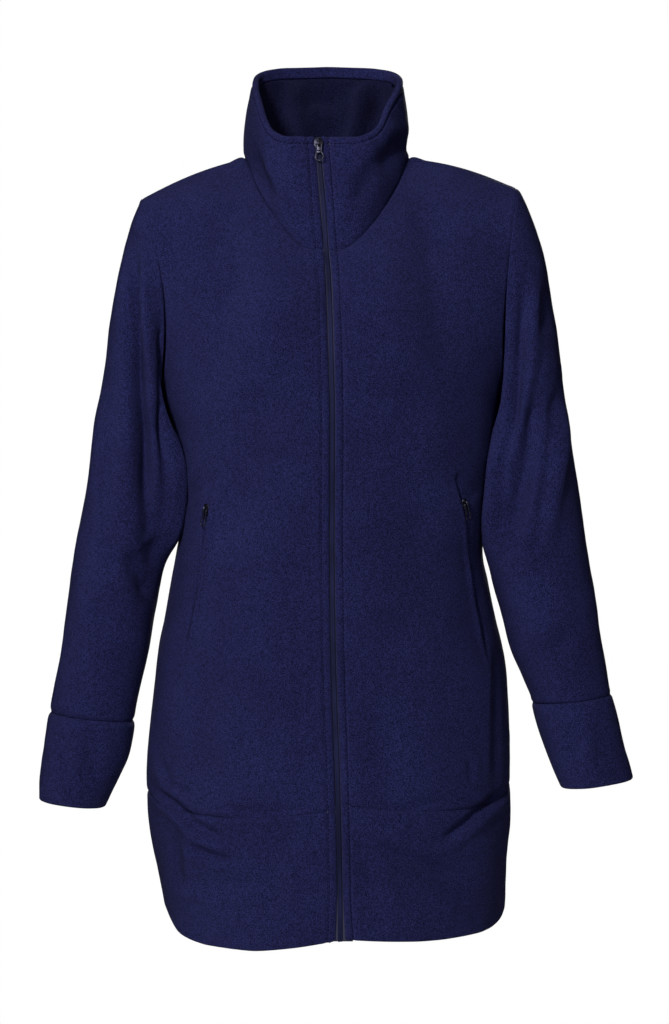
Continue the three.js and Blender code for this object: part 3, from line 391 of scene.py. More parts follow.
def read(rows, key, name, at):
    """One column of a table between its rows, without overshoot."""
    x = np.array([getattr(row, key) for row in rows], float)
    y = np.array([getattr(row, name) for row in rows], float)
    if x[0] > x[-1]:
        x, y = x[::-1], y[::-1]
    width = np.diff(x)
    slope = np.diff(y) / width
    product = slope[:-1] * slope[1:]
    total = np.where(product > 0, slope[:-1] + slope[1:], 1)
    inner = np.where(product > 0, 2 * product / total, 0)
    tangent = np.concatenate([slope[:1], inner, slope[-1:]])
    at = np.clip(np.asarray(at, float), x[0], x[-1])
    i = np.clip(np.searchsorted(x, at, side="right") - 1, 0, len(width) - 1)
    t = (at - x[i]) / width[i]
    rise = y[i + 1] - y[i]
    eased = rise * t * t * (3 - 2 * t)
    leaving = tangent[i] * width[i] * t * (1 - t) ** 2
    arriving = tangent[i + 1] * width[i] * t * t * (1 - t)
    return y[i] + eased + leaving - arriving


def bezier(a, b, c, d, t):
    t = np.asarray(t, float)[..., None]
    s = 1 - t
    return a * s**3 + 3 * b * s * s * t + 3 * c * s * t * t + d * t**3


# The jacket's own form
def centre_front(z):
    return point(read(CENTRE_FRONT, "z", "x", z), read(CENTRE_FRONT, "z", "y", z), z)


def slit(z):
    """Half the space between the two fronts, wider towards the hem."""
    opening = (HEM_SLIT_START_Z - np.asarray(z, float)) / (HEM_SLIT_START_Z - BAND_HEM_Z)
    return mix(ZIP_SLIT, HEM_SLIT, np.clip(opening, 0, 1))


def body(side, facing, z, across):
    """The body below the underarms, from the middle (across 0) to the side seam (across 1)."""
    z, across = np.broadcast_arrays(np.asarray(z, float), across)
    sign = SIDES[side]
    girth = {name: read(GIRTHS, "z", name, z) for name in ("side", "back", "reach", "turn", side)}
    seam = point(sign * girth[side], girth["side"], z)
    front = centre_front(z)
    if facing == FRONT:
        start = point(front[..., 0] + sign * slit(z), front[..., 1], z)
    else:
        start = point(front[..., 0] * BACK_LEAN, girth["back"], z)
    lead = point(mix(start[..., 0], seam[..., 0], girth["reach"]), start[..., 1], z)
    turn = point(seam[..., 0], mix(seam[..., 1], start[..., 1], girth["turn"]), z)
    return bezier(start, lead, turn, seam, across)


def ring_point(side, ring, turn, facing):
    """A ring around the arm: turn 0 is its outer end, 180 its inner end."""
    angle = np.radians(np.asarray(turn, float))
    low = (1 - np.cos(angle)) / 2
    bow = np.abs(np.sin(angle)) ** ARM_BOW
    y = mix((ring.back - ring.front) / 2, ring.inner_y, low)
    out = mix(ring.outer, ring.inner, low) - ring.inset * np.sin(angle) ** 2
    reach = -ring.front if facing == FRONT else ring.back
    return point(SIDES[side] * out, mix(y, reach, bow), mix(ring.outer_z, ring.inner_z, low))


def neck_point(side, rounds):
    rounds = np.asarray(rounds, float)
    middle = read(CENTRE_FRONT, "z", "x", NECK_START_Z)
    zipwards = np.maximum(0, 1 - rounds)
    out = SIDES[side] * (read(NECK, "round", "out", rounds) + ZIP_SLIT * zipwards) + middle * zipwards
    return point(out, read(NECK, "round", "y", rounds), read(NECK, "round", "z", rounds))


def top_point(side, facing, across):
    """The upper border of a panel: the neck seam, then the arched shoulder seam."""
    across = np.asarray(across, float)
    neck_part = FRONT_NECK_PART if facing == FRONT else BACK_NECK_PART
    along = np.clip(across / neck_part, 0, 1)
    neck = neck_point(side, along if facing == FRONT else 2 - along)
    part = np.clip((across - neck_part) / (1 - neck_part), 0, 1)
    shoulder = blend(neck_point(side, 1), ring_point(side, ARMHOLES[side], 0, FRONT), part)
    shoulder[..., 2] += SHOULDER_ARCH[side] * np.sin(np.pi * part)
    return np.where((across > neck_part)[..., None], shoulder, neck)


def middle_point(side, facing, height):
    if facing == FRONT:
        z = mix(UNDERARM_Z, NECK_START_Z, height)
        line = centre_front(z)
        line[..., 0] += SIDES[side] * slit(z)
        return line
    z = mix(UNDERARM_Z, BACK_CENTRE[-1].z, height)
    lean = centre_front(UNDERARM_Z)[..., 0] * BACK_LEAN * (1 - height)
    return point(lean, read(BACK_CENTRE, "z", "y", z), z)


def yoke(side, facing, height, across):
    """A panel above the underarm (height 0), up to the neck and shoulder seams (height 1)."""
    height, across = np.broadcast_arrays(height, across)
    low = lambda at: body(side, facing, UNDERARM_Z, at)
    top = lambda at: top_point(side, facing, at)
    armhole = ring_point(side, ARMHOLES[side], 180 * (1 - height), facing)
    rails = blend(middle_point(side, facing, height), armhole, across)
    spans = blend(low(across), top(across), height)
    corners = blend(blend(low(0), low(1), across), blend(top(0), top(1), across), height)
    places = rails + spans - corners
    fullness = -BUST_FULLNESS if facing == FRONT else BACK_FULLNESS
    places[..., 1] += fullness * np.sin(np.pi * across) * np.sin(np.pi * height)
    return places


def parts(count, low=0.0, high=1.0):
    return np.linspace(low, high, count + 1)


def band_line(side, name, rounds):
    return read(BAND_LINES, "round", f"{name}_{side}", rounds)


def panel_rows(side, facing, count):
    """One half of a panel, from the band seam up."""
    across = parts(count)[None, :]
    part = parts(LOWER_ROWS)[:, None]
    rounds = across if facing == FRONT else 2 - across
    sag = band_line(side, "seam", rounds) - BAND_SEAM_Z
    z = mix(BAND_SEAM_Z, UNDERARM_Z, part) + sag * np.maximum(0, 1 - SAG_FADE * part)
    lower = body(side, facing, z, across)
    upper = yoke(side, facing, parts(YOKE_ROWS)[1:, None], across)
    return np.concatenate([lower, upper])


def band_rows(side, facing, count):
    across = parts(count)[None, :]
    rounds = across if facing == FRONT else 2 - across
    height = parts(BAND_ROWS)[:, None]
    z = mix(band_line(side, "hem", rounds), band_line(side, "seam", rounds), height)
    return body(side, facing, z, across)


def relaxed(grid, passes):
    """Smooths a panel's inner points above the underarm."""
    grid = grid.copy()
    for _ in range(passes):
        around = (grid[:-2, 1:-1] + grid[2:, 1:-1] + grid[1:-1, :-2] + grid[1:-1, 2:]) / 4
        eased = (grid[1:-1, 1:-1] + around) / 2
        grid[LOWER_ROWS + 1 : -1, 1:-1] = eased[LOWER_ROWS:]
    return grid


def front_order(side, grid):
    return grid if side == "left" else grid[:, ::-1]


def whole_back(rows):
    """Both halves of a back, from the wearer's left to right."""
    left = rows("left", BACK, BACK_COLUMNS)
    right = rows("right", BACK, BACK_COLUMNS)
    return np.concatenate([left[:, ::-1], right[:, 1:]], axis=1)


def ring(side, row):
    """Over the front from the outer end to the inner end, and back behind."""
    turns = parts(YOKE_ROWS, 0, 180)
    front = ring_point(side, row, turns, FRONT)
    behind = ring_point(side, row, turns[1:-1][::-1], BACK)
    around = np.concatenate([front, behind])
    return around if side == "right" else np.concatenate([around[:1], around[1:][::-1]])


def collar_grid():
    """The collar's outer face from the neck seam up to the rim, from the wearer's right to left."""
    front = parts(FRONT_NECK_COLUMNS)
    behind = parts(BACK_NECK_COLUMNS, 1, 2)[1:]
    rounds = np.concatenate([front, behind])
    halves = {}
    for side in SIDES:
        base = neck_point(side, rounds)
        zipwards = np.maximum(0, 1 - rounds)
        middle = read(CENTRE_FRONT, "z", "x", COLLAR_TOP_Z) * zipwards
        out = SIDES[side] * (read(COLLAR_RIM, "round", "out", rounds) + ZIP_SLIT * zipwards) + middle
        rim = point(out, read(COLLAR_RIM, "round", "y", rounds), read(COLLAR_RIM, "round", "z", rounds))
        away = base * (1, 1, 0)
        away /= np.linalg.norm(away, axis=-1, keepdims=True)
        bulge = mix(COLLAR_BULGE["zip"], COLLAR_BULGE["side"], np.minimum(1, 2 * rounds))
        height = parts(COLLAR_ROWS)[:, None]
        swell = bulge * np.sin(np.pi * height)
        halves[side] = blend(base, rim, height * np.ones_like(rounds)) + away * swell[..., None]
    return np.concatenate([halves["left"], halves["right"][:, :-1][:, ::-1]], axis=1)


# Finer grids
def between_rows(grid, at, closed=False):
    """Smooth rows through a grid's own rows."""
    if closed:
        before, after = grid[-1:], grid[:2]
        last = len(grid)
    else:
        before, after = 2 * grid[:1] - grid[1:2], 2 * grid[-1:] - grid[-2:-1]
        last = len(grid) - 1
    padded = np.concatenate([before, grid, after])
    i = np.clip(np.floor(at).astype(int), 0, last - 1)
    t = (at - i)[:, None, None]
    a, b, c, d = (padded[i + k] for k in range(4))
    return b + 0.5 * t * (c - a + t * (2 * a - 5 * b + 4 * c - d + t * (3 * (b - c) + d - a)))


def between_columns(grid, at, closed=False):
    return between_rows(grid.swapaxes(0, 1), at, closed).swapaxes(0, 1)


def places_along(line, low, high, pitch):
    """Places between a line's points, as near each other at its ends as low and high say."""
    reach = np.concatenate([[0], np.cumsum(np.linalg.norm(np.diff(line, axis=0), axis=1))])
    near, far = np.array(low, float), reach[-1] - np.array(high, float)[::-1]
    count = max(2, round((far[0] - near[-1]) / pitch))
    wanted = np.concatenate([near, np.linspace(near[-1], far[0], count + 1)[1:-1], far])
    return np.interp(wanted, reach, np.arange(len(line)))


def finer(
    grid, low=EDGE_STEPS, high=EDGE_STEPS, start=EDGE_STEPS, end=EDGE_STEPS, pitch=PITCH, closed=False
):
    rows = places_along(grid[:, grid.shape[1] // 2], low, high, pitch)
    line = grid[len(grid) // 2]
    if closed:
        around = np.concatenate([line, line[:1]])
        columns = places_along(around, PLAIN_STEPS, PLAIN_STEPS, pitch)[:-1]
    else:
        columns = places_along(line, start, end, pitch)
    return between_columns(between_rows(grid, rows), columns, closed)


def outward(grid, closed=False):
    across = np.roll(grid, -1, 1) - np.roll(grid, 1, 1) if closed else np.gradient(grid, axis=1)
    out = np.cross(across, np.gradient(grid, axis=0))
    return out / np.maximum(np.linalg.norm(out, axis=-1, keepdims=True), 1e-9)


def reach_from(grid, border):
    """How far each point lies from one border of its grid, along the cloth."""
    axis = 0 if border in ("low", "high") else 1
    lengths = np.linalg.norm(np.diff(grid, axis=axis), axis=-1)
    start = np.zeros_like(np.take(lengths, [0], axis))
    reach = np.concatenate([start, np.cumsum(lengths, axis=axis)], axis=axis)
    return reach if border in ("low", "start") else np.take(reach, [-1], axis) - reach


def crease_height(grid, out, crease):
    """How far the cloth stands out (or sinks, below 0) along one crease."""
    x, z = grid[..., 0], grid[..., 2]
    line = np.array(crease.line, float)
    lengths = np.linalg.norm(np.diff(line, axis=0), axis=1)
    done = np.concatenate([[0], np.cumsum(lengths)]) / lengths.sum()
    nearest = np.full(x.shape, np.inf)
    side = np.zeros_like(x)
    along = np.zeros_like(x)
    for k, length in enumerate(lengths):
        run = (line[k + 1] - line[k]) / length
        to_x, to_z = x - line[k][0], z - line[k][1]
        part = np.clip(to_x * run[0] + to_z * run[1], 0, length)
        away = np.hypot(to_x - part * run[0], to_z - part * run[1])
        closer = away < nearest
        nearest = np.where(closer, away, nearest)
        side = np.where(closer, np.sign(to_x * run[1] - to_z * run[0]), side)
        along = np.where(closer, mix(done[k], done[k + 1], part / length), along)
    taper = np.clip(np.minimum(along, 1 - along) / CREASE_TAPER, 0, 1)
    taper = 0.25 + 0.75 * taper * taper * (3 - 2 * taper)
    s = side * nearest / crease.half
    beside = math.copysign(1.7, crease.ridge)
    facing = 1 if crease.facing == AROUND else np.clip(2.2 * crease.facing * out[..., 1], 0, 1)
    trough = CREASE_FULLNESS * crease.depth * np.exp(-s * s)
    ridge = CREASE_FULLNESS * abs(crease.ridge) * np.exp(-((s - beside) ** 2))
    return (ridge - trough) * taper * facing


def worn(grid, creases=(), seams=(), closed=False, seed=0.0, shared=()):
    """Adds creases, seams and the soft unevenness of worn cloth. Creases run on over shared borders."""
    out = outward(grid, closed)
    height = sum((crease_height(grid, out, crease) for crease in creases), np.zeros(grid.shape[:2]))
    lumps = np.zeros_like(height)
    for spot in np.ndindex(height.shape):
        place = Vector(grid[spot])
        lumps[spot] = LUMP_HEIGHT * noise.noise(place / LUMP_SIZE + Vector((seed, 0, 0)))
        lumps[spot] += RIPPLE_HEIGHT * noise.noise(place / RIPPLE_SIZE + Vector((0, seed, 0)))
    for border in {seam.border for seam in seams if seam.at == 0}:
        held = np.clip(reach_from(grid, border) / HELD_REACH, 0, 1)
        lumps *= held * held * (3 - 2 * held)
        if border not in shared:
            height *= held * held * (3 - 2 * held)
    height += lumps
    for seam in seams:
        away = (reach_from(grid, seam.border) - seam.at) / seam.half
        height -= seam.depth * np.exp(-away * away)
    return grid + out * height[..., None]


def rolled(grid, radius, turned, border="low", closed=False, count=6):
    """Rolls a border's edge inwards, and turns the cloth in behind it."""
    edge, beside = (grid[0], grid[1]) if border == "low" else (grid[-1], grid[-2])
    out = outward(grid, closed)[0 if border == "low" else -1]
    beyond = edge - beside
    beyond -= out * np.sum(beyond * out, axis=-1, keepdims=True)
    beyond /= np.linalg.norm(beyond, axis=-1, keepdims=True)
    angles = parts(count, 0, math.pi)[1:]
    rows = [edge + out * radius * (math.cos(a) - 1) + beyond * radius * math.sin(a) for a in angles]
    rows += [rows[-1] - beyond * turned * part for part in (0.25, 0.5, 0.75, 1)]
    if border == "low":
        return np.concatenate([rows[::-1], grid])
    return np.concatenate([grid, rows])


def body_reach(side, y, z):
    """How far sideways the body reaches at a given depth and height."""
    front = y < read(GIRTHS, "z", "side", z)
    far = np.ones_like(y)
    near = np.where(front, BODY_SIDE["front"], BODY_SIDE["back"])
    for _ in range(18):
        middle = (near + far) / 2
        place = np.where(
            front,
            body(side, FRONT, z, middle)[..., 1],
            body(side, BACK, z, middle)[..., 1],
        )
        inside = np.where(front, place < y, place > y)
        near, far = np.where(inside, middle, near), np.where(inside, far, middle)
    reach = np.where(front, body(side, FRONT, z, far)[..., 0], body(side, BACK, z, far)[..., 0])
    return reach * SIDES[side]


def clear_of_body(side, grid):
    """The sleeve lies against the body without entering it."""
    grid = grid.copy()
    hangs = (grid[..., 2] < UNDERARM_Z) & (np.abs(grid[..., 1]) < ARMHOLES[side].front)
    places = grid[hangs]
    limit = body_reach(side, places[:, 1], places[:, 2]) + SLEEVE_CLEARANCE
    sign = SIDES[side]
    places[:, 0] = sign * np.maximum(places[:, 0] * sign, limit)
    grid[hangs] = places
    return grid


# Making pieces
def finished(name, bm, material, body_name="jacket"):
    mesh = bpy.data.meshes.new(name)
    bm.to_mesh(mesh)
    bm.free()
    piece = bpy.data.objects.new(name, mesh)
    bpy.context.scene.collection.objects.link(piece)
    mesh.materials.append(material)
    for face in mesh.polygons:
        face.use_smooth = True
    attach(piece, body_name)
    return piece


def grid_mesh(grid, closed=False):
    """A bmesh grid laid on the points of a grid, in metres."""
    rows, columns = grid.shape[:2]
    wide = columns + 1 if closed else columns
    bm = bmesh.new()
    bmesh.ops.create_grid(bm, x_segments=wide - 1, y_segments=rows - 1, size=0.5)
    for vertex in bm.verts:
        column = round((vertex.co.x + 0.5) * (wide - 1)) % columns
        row = round((vertex.co.y + 0.5) * (rows - 1))
        vertex.co = Vector(grid[row, column]) * MM
    if closed:
        bmesh.ops.remove_doubles(bm, verts=bm.verts, dist=1e-7)
    return bm


# The rectangle that each sheet is cut from, in metres, and the area of the piece in square metres
Cut = namedtuple("Cut", "flat area")


def cloth(node, grid, closed=False, wall=CLOTH, slot="fleece", look=None):
    """The cloth of one node: its face lies on the grid, and its wall goes inwards."""
    piece = finished(f"{node}_cloth", grid_mesh(grid, closed), MATERIALS[look or slot])
    thick = piece.modifiers.new("wall", "SOLIDIFY")
    thick.thickness = wall * MM
    thick.offset = -1
    thick.use_rim = True
    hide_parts(node)
    return piece


# Materials
def node_group(name, inputs, outputs):
    group = bpy.data.node_groups.new(name, "ShaderNodeTree")
    for label, kind, value in inputs:
        socket = group.interface.new_socket(label, in_out="INPUT", socket_type=kind)
        if value is not None:
            socket.default_value = value
    for label, kind in outputs:
        group.interface.new_socket(label, in_out="OUTPUT", socket_type=kind)
    return group, group.nodes.new("NodeGroupInput"), group.nodes.new("NodeGroupOutput")


def add_node(tree, kind, **settings):
    node = tree.nodes.new(kind)
    for key, value in settings.items():
        setattr(node, key, value)
    return node


def calculated(tree, operation, *values):
    """A Math node of one operation; a value is a number or another node's socket."""
    node = add_node(tree, "ShaderNodeMath", operation=operation)
    for socket, value in zip(node.inputs, values):
        if isinstance(value, (int, float)):
            socket.default_value = value
        else:
            tree.links.new(value, socket)
    return node.outputs[0]


def ranged(tree, value, low, high, to_low=0.0, to_high=1.0):
    node = add_node(tree, "ShaderNodeMapRange", interpolation_type="SMOOTHSTEP")
    tree.links.new(value, node.inputs["Value"])
    for label, number in (("From Min", low), ("From Max", high), ("To Min", to_low), ("To Max", to_high)):
        node.inputs[label].default_value = number
    return node.outputs["Result"]


def mixed_colour(tree, factor, a, b, mode="MIX"):
    node = add_node(tree, "ShaderNodeMix", data_type="RGBA", blend_type=mode)
    if isinstance(factor, (int, float)):
        node.inputs["Factor"].default_value = factor
    else:
        tree.links.new(factor, node.inputs["Factor"])
    for label, value in (("A", a), ("B", b)):
        socket = next(s for s in node.inputs if s.name == label and s.type == "RGBA")
        if isinstance(value, tuple):
            socket.default_value = (*value, 1)
        else:
            tree.links.new(value, socket)
    return next(s for s in node.outputs if s.type == "RGBA")


def noise_at(tree, vector, scale, detail=2.0, roughness=0.5, distortion=0.0):
    node = add_node(tree, "ShaderNodeTexNoise")
    tree.links.new(vector, node.inputs["Vector"])
    node.inputs["Scale"].default_value = scale
    node.inputs["Detail"].default_value = detail
    node.inputs["Roughness"].default_value = roughness
    node.inputs["Distortion"].default_value = distortion
    return node


def pile_group():
    """Short fleece pile: curled tufts, with their shaded roots, and soft brushed patches."""
    group, inside, outside = node_group(
        "fleece pile",
        [("Vector", "NodeSocketVector", None)],
        [("Height", "NodeSocketFloat"), ("Tufts", "NodeSocketFloat"), ("Patches", "NodeSocketFloat")],
    )
    vector = inside.outputs["Vector"]
    curls = noise_at(group, vector, PILE_CURLS, 3, 0.6, 1.6)
    tufts = noise_at(group, vector, PILE_TUFTS, 2, 0.55, 0.8)
    fibre = noise_at(group, vector, PILE_FIBRE, 2, 0.7)
    patches = noise_at(group, vector, PILE_PATCHES, 3, 0.55)
    height = calculated(group, "MULTIPLY", curls.outputs["Fac"], 0.5)
    height = calculated(group, "MULTIPLY_ADD", tufts.outputs["Fac"], 0.38, height)
    height = calculated(group, "MULTIPLY_ADD", fibre.outputs["Fac"], 0.12, height)
    group.links.new(height, outside.inputs["Height"])
    group.links.new(ranged(group, height, 0.41, 0.62), outside.inputs["Tufts"])
    group.links.new(ranged(group, patches.outputs["Fac"], 0.3, 0.7), outside.inputs["Patches"])
    return group


def weave_group():
    """Fine weave: ribs across and along the tape."""
    group, inside, outside = node_group(
        "fine weave",
        [("Vector", "NodeSocketVector", None), ("Scale", "NodeSocketFloat", 900.0)],
        [("Height", "NodeSocketFloat"), ("Threads", "NodeSocketFloat")],
    )
    heights = []
    for direction in ("X", "Z"):
        wave = add_node(group, "ShaderNodeTexWave", bands_direction=direction, wave_profile="SIN")
        group.links.new(inside.outputs["Vector"], wave.inputs["Vector"])
        group.links.new(inside.outputs["Scale"], wave.inputs["Scale"])
        wave.inputs["Distortion"].default_value = 0.6
        heights.append(wave.outputs["Fac"])
    height = calculated(group, "MULTIPLY", heights[0], heights[1])
    group.links.new(height, outside.inputs["Height"])
    group.links.new(ranged(group, height, 0.2, 0.8), outside.inputs["Threads"])
    return group


def surface(name):
    """A new material with its Principled shader and Object coordinates."""
    material = bpy.data.materials.new(name)
    material.use_nodes = True
    tree = material.node_tree
    shader = next(node for node in tree.nodes if node.type == "BSDF_PRINCIPLED")
    vector = add_node(tree, "ShaderNodeTexCoord").outputs["Object"]
    return material, tree, shader, vector


def bumped(tree, shader, height, strength, distance):
    bump = add_node(tree, "ShaderNodeBump")
    bump.inputs["Strength"].default_value = strength
    bump.inputs["Distance"].default_value = distance
    tree.links.new(height, bump.inputs["Height"])
    tree.links.new(bump.outputs["Normal"], shader.inputs["Normal"])


def fleece_material(pile, name, painted_shade):
    material, tree, shader, vector = surface(name)
    fluff = add_node(tree, "ShaderNodeGroup", node_tree=pile)
    tree.links.new(vector, fluff.inputs["Vector"])
    colour = mixed_colour(tree, fluff.outputs["Tufts"], FLEECE_ROOT, FLEECE_TIP)
    brushed = mixed_colour(tree, fluff.outputs["Patches"], FLEECE_DULL, FLEECE_BRIGHT)
    colour = mixed_colour(tree, 1.0, colour, brushed, "MULTIPLY")
    # Painted shade: multiplies the colour by a grey, which darkens the collar's inside; the outer fleece
    # takes white and stays as it is.
    colour = mixed_colour(tree, 1.0, colour, painted_shade, "MULTIPLY")
    # Painted shade: the colour darkens where the surface turns away from the camera, towards the sides and
    # outlines.
    rim = add_node(tree, "ShaderNodeLayerWeight")
    rim.inputs["Blend"].default_value = 0.35
    grazing_shade = ranged(tree, rim.outputs["Facing"], 0.4, 0.95, 0.0, 0.75)
    colour = mixed_colour(tree, grazing_shade, colour, FLEECE_GRAZING_SHADE, "MULTIPLY")
    tree.links.new(colour, shader.inputs["Base Color"])
    shader.inputs["Roughness"].default_value = 0.95
    shader.inputs["Specular IOR Level"].default_value = 0.06
    shader.inputs["Sheen Weight"].default_value = 0.06
    shader.inputs["Sheen Roughness"].default_value = 0.45
    shader.inputs["Sheen Tint"].default_value = (0.3, 0.3, 0.9, 1)
    bumped(tree, shader, fluff.outputs["Height"], 1.0, 0.0026)
    return material


def thread_material(pile):
    material, tree, shader, vector = surface("thread")
    fluff = add_node(tree, "ShaderNodeGroup", node_tree=pile)
    tree.links.new(vector, fluff.inputs["Vector"])
    colour = mixed_colour(tree, fluff.outputs["Tufts"], THREAD_DARK, THREAD_LIGHT)
    tree.links.new(colour, shader.inputs["Base Color"])
    shader.inputs["Roughness"].default_value = 0.9
    shader.inputs["Specular IOR Level"].default_value = 0.05
    twist = add_node(tree, "ShaderNodeTexWave", bands_direction="DIAGONAL")
    tree.links.new(vector, twist.inputs["Vector"])
    twist.inputs["Scale"].default_value = 700
    bumped(tree, shader, twist.outputs["Fac"], 0.4, 0.0002)
    return material


def tape_material(weave):
    material, tree, shader, vector = surface("zip_tape")
    cloth_weave = add_node(tree, "ShaderNodeGroup", node_tree=weave)
    cloth_weave.inputs["Scale"].default_value = 260
    tree.links.new(vector, cloth_weave.inputs["Vector"])
    colour = mixed_colour(tree, cloth_weave.outputs["Threads"], TAPE_DARK, TAPE_LIGHT)
    tree.links.new(colour, shader.inputs["Base Color"])
    shader.inputs["Roughness"].default_value = 0.75
    shader.inputs["Sheen Weight"].default_value = 0.15
    bumped(tree, shader, cloth_weave.outputs["Height"], 0.5, 0.0003)
    return material


def coil_material():
    material, tree, shader, vector = surface("zip_coil")
    cloudy = noise_at(tree, vector, 18, 3)
    colour = mixed_colour(tree, ranged(tree, cloudy.outputs["Fac"], 0.3, 0.7), COIL_DARK, COIL_LIGHT)
    tree.links.new(colour, shader.inputs["Base Color"])
    rough = ranged(tree, cloudy.outputs["Fac"], 0.3, 0.7, 0.55, 0.7)
    shader.inputs["Specular IOR Level"].default_value = 0.08
    tree.links.new(rough, shader.inputs["Roughness"])
    grain = noise_at(tree, vector, 2200, 2)
    bumped(tree, shader, grain.outputs["Fac"], 0.15, 0.0001)
    return material


def metal_material():
    material, tree, shader, vector = surface("zip_metal")
    scuffs = noise_at(tree, vector, 420, 4, 0.65)
    worn_edge = add_node(tree, "ShaderNodeNewGeometry")
    edge = ranged(tree, worn_edge.outputs["Pointiness"], 0.5, 0.58)
    scuffed = calculated(tree, "MULTIPLY", edge, ranged(tree, scuffs.outputs["Fac"], 0.35, 0.65))
    colour = mixed_colour(tree, scuffed, METAL_DARK, METAL_BRIGHT)
    tree.links.new(colour, shader.inputs["Base Color"])
    shader.inputs["Metallic"].default_value = 1.0
    rough = ranged(tree, scuffs.outputs["Fac"], 0.3, 0.7, 0.3, 0.48)
    tree.links.new(rough, shader.inputs["Roughness"])
    bumped(tree, shader, scuffs.outputs["Fac"], 0.12, 0.0001)
    return material


PILE_CURLS = 1100
PILE_TUFTS = 980
PILE_FIBRE = 1900
PILE_PATCHES = 13
FLEECE_ROOT = (0.0022, 0.0024, 0.013)
FLEECE_TIP = (0.037, 0.0425, 0.184)
FLEECE_DULL = (0.86, 0.78, 0.82)
FLEECE_BRIGHT = (1.0, 1.0, 1.0)
# Painted shade: the grey that darkens the fleece inside the collar.
LINING_PAINTED_SHADE = (0.4, 0.4, 0.38)
# Painted shade at grazing view angles, towards the sides and outlines.
FLEECE_GRAZING_SHADE = (0.35, 0.35, 0.38)
THREAD_DARK = (0.0015, 0.0015, 0.008)
THREAD_LIGHT = (0.004, 0.004, 0.02)
TAPE_DARK = (0.012, 0.013, 0.045)
TAPE_LIGHT = (0.028, 0.031, 0.088)
COIL_DARK = (0.0045, 0.0055, 0.025)
COIL_LIGHT = (0.0105, 0.0125, 0.048)
METAL_DARK = (0.02, 0.02, 0.032)
METAL_BRIGHT = (0.09, 0.09, 0.13)

PILE = pile_group()
WEAVE = weave_group()
MATERIALS = {
    "fleece": fleece_material(PILE, "fleece", FLEECE_BRIGHT),
    # The collar's inside has painted shade in its colour.
    "lining": fleece_material(PILE, "fleece inside the collar", LINING_PAINTED_SHADE),
    "thread": thread_material(PILE),
    "zip_tape": tape_material(WEAVE),
    "zip_coil": coil_material(),
    "zip_metal": metal_material(),
}

# Cloth pieces
SEAM_SIDE = (0, 1.2, 2.0)
SEAM_BAND = (0, 2.0, 2.7)
SEAM_NECK = (0, 0.9, 3.0)
SEAM_SHOULDER = (0, 0.9, 2.0)
SEAM_CUFF = (0, 1.0, 2.4)
ZIP_EDGE = (0, 1.3, 1.5)
ZIP_GROOVE = (ZIP_STITCH, 1.5, 1.4)
RIM_GROOVE = (RIM_STITCH - RIM_ROLL / 2, 1.5, 1.5)
LINING_EDGE = (0, 1.2, 1.6)
UNSEEN = (0, 0, 1)
SEAM_SPACE = 0.02
JOIN_REACH = 14
FRONT_PITCH = 2.8
SLEEVE_PITCH = 3.0
POCKET_HALF = 1.9
POCKET_DEPTH = 2.4
POCKET_LIP = 1.9
HEM_STEPS = (HEM_ROLL, 3.8, 5.2, 7.4, 10)
RIM_STEPS = (0, 1.4, 2.6, 3.6, 4.3, 4.9, 5.6, 6.6, 8.4)
LINING_TOP = (9.8, 10.8, 12, 14)
TRUNK_CREASES = BODY_CREASES + BAND_CREASES


def zip_border(side):
    return "start" if side == "left" else "end"


def side_border(side):
    return "end" if side == "left" else "start"


def pocket_fold(side):
    """The lips of the pocket: a narrow trough with the cloth standing beside it."""
    line = tuple((spot.x, spot.z) for spot in POCKETS[side])
    first, last = np.array(line[0]), np.array(line[-1])
    beyond = (first - last) * 0.14
    line = (tuple(first + beyond), *line, tuple(last - beyond))
    return Crease(POCKET_HALF, POCKET_DEPTH, SIDES[side] * POCKET_LIP, FRONT, line)


def front_panel(side):
    cut = front_order(side, relaxed(panel_rows(side, FRONT, FRONT_COLUMNS), FRONT_SMOOTHING))
    ends = {zip_border(side): ZIP_STEPS, side_border(side): EDGE_STEPS}
    smooth = finer(cut, pitch=FRONT_PITCH, **ends)
    seams = (
        Seam(zip_border(side), *ZIP_EDGE),
        Seam(zip_border(side), *ZIP_GROOVE),
        Seam(side_border(side), *SEAM_SIDE),
        Seam("low", *SEAM_BAND),
        Seam("high", *SEAM_NECK),
    )
    grid = worn(smooth, (*TRUNK_CREASES, pocket_fold(side)), seams, shared=("low",))
    cloth(f"front_{side}", grid)
    return smooth, grid


def back_panel():
    cut = relaxed(whole_back(panel_rows), BACK_SMOOTHING)
    seams = (
        Seam("start", *SEAM_SIDE),
        Seam("end", *SEAM_SIDE),
        Seam("low", *SEAM_BAND),
        Seam("high", *SEAM_SHOULDER),
    )
    grid = worn(finer(cut), TRUNK_CREASES, seams, shared=("low",))
    cloth("back", grid)
    return grid


def front_band(side):
    cut = front_order(side, band_rows(side, FRONT, FRONT_COLUMNS))
    ends = {zip_border(side): ZIP_STEPS, side_border(side): EDGE_STEPS}
    grid = finer(cut, low=HEM_STEPS, pitch=FRONT_PITCH, **ends)
    seams = (
        Seam(zip_border(side), *ZIP_EDGE),
        Seam(zip_border(side), *ZIP_GROOVE),
        Seam(side_border(side), *SEAM_SIDE),
        Seam("high", *SEAM_BAND),
    )
    grid = worn(grid, TRUNK_CREASES, seams, shared=("high",))
    cloth(f"hem_band_front_{side}", rolled(grid, HEM_ROLL, HEM_TURN))
    return grid


def back_band():
    grid = finer(whole_back(band_rows), low=HEM_STEPS)
    seams = (Seam("start", *SEAM_SIDE), Seam("end", *SEAM_SIDE), Seam("high", *SEAM_BAND))
    grid = worn(grid, TRUNK_CREASES, seams, shared=("high",))
    cloth("hem_band_back", rolled(grid, HEM_ROLL, HEM_TURN))


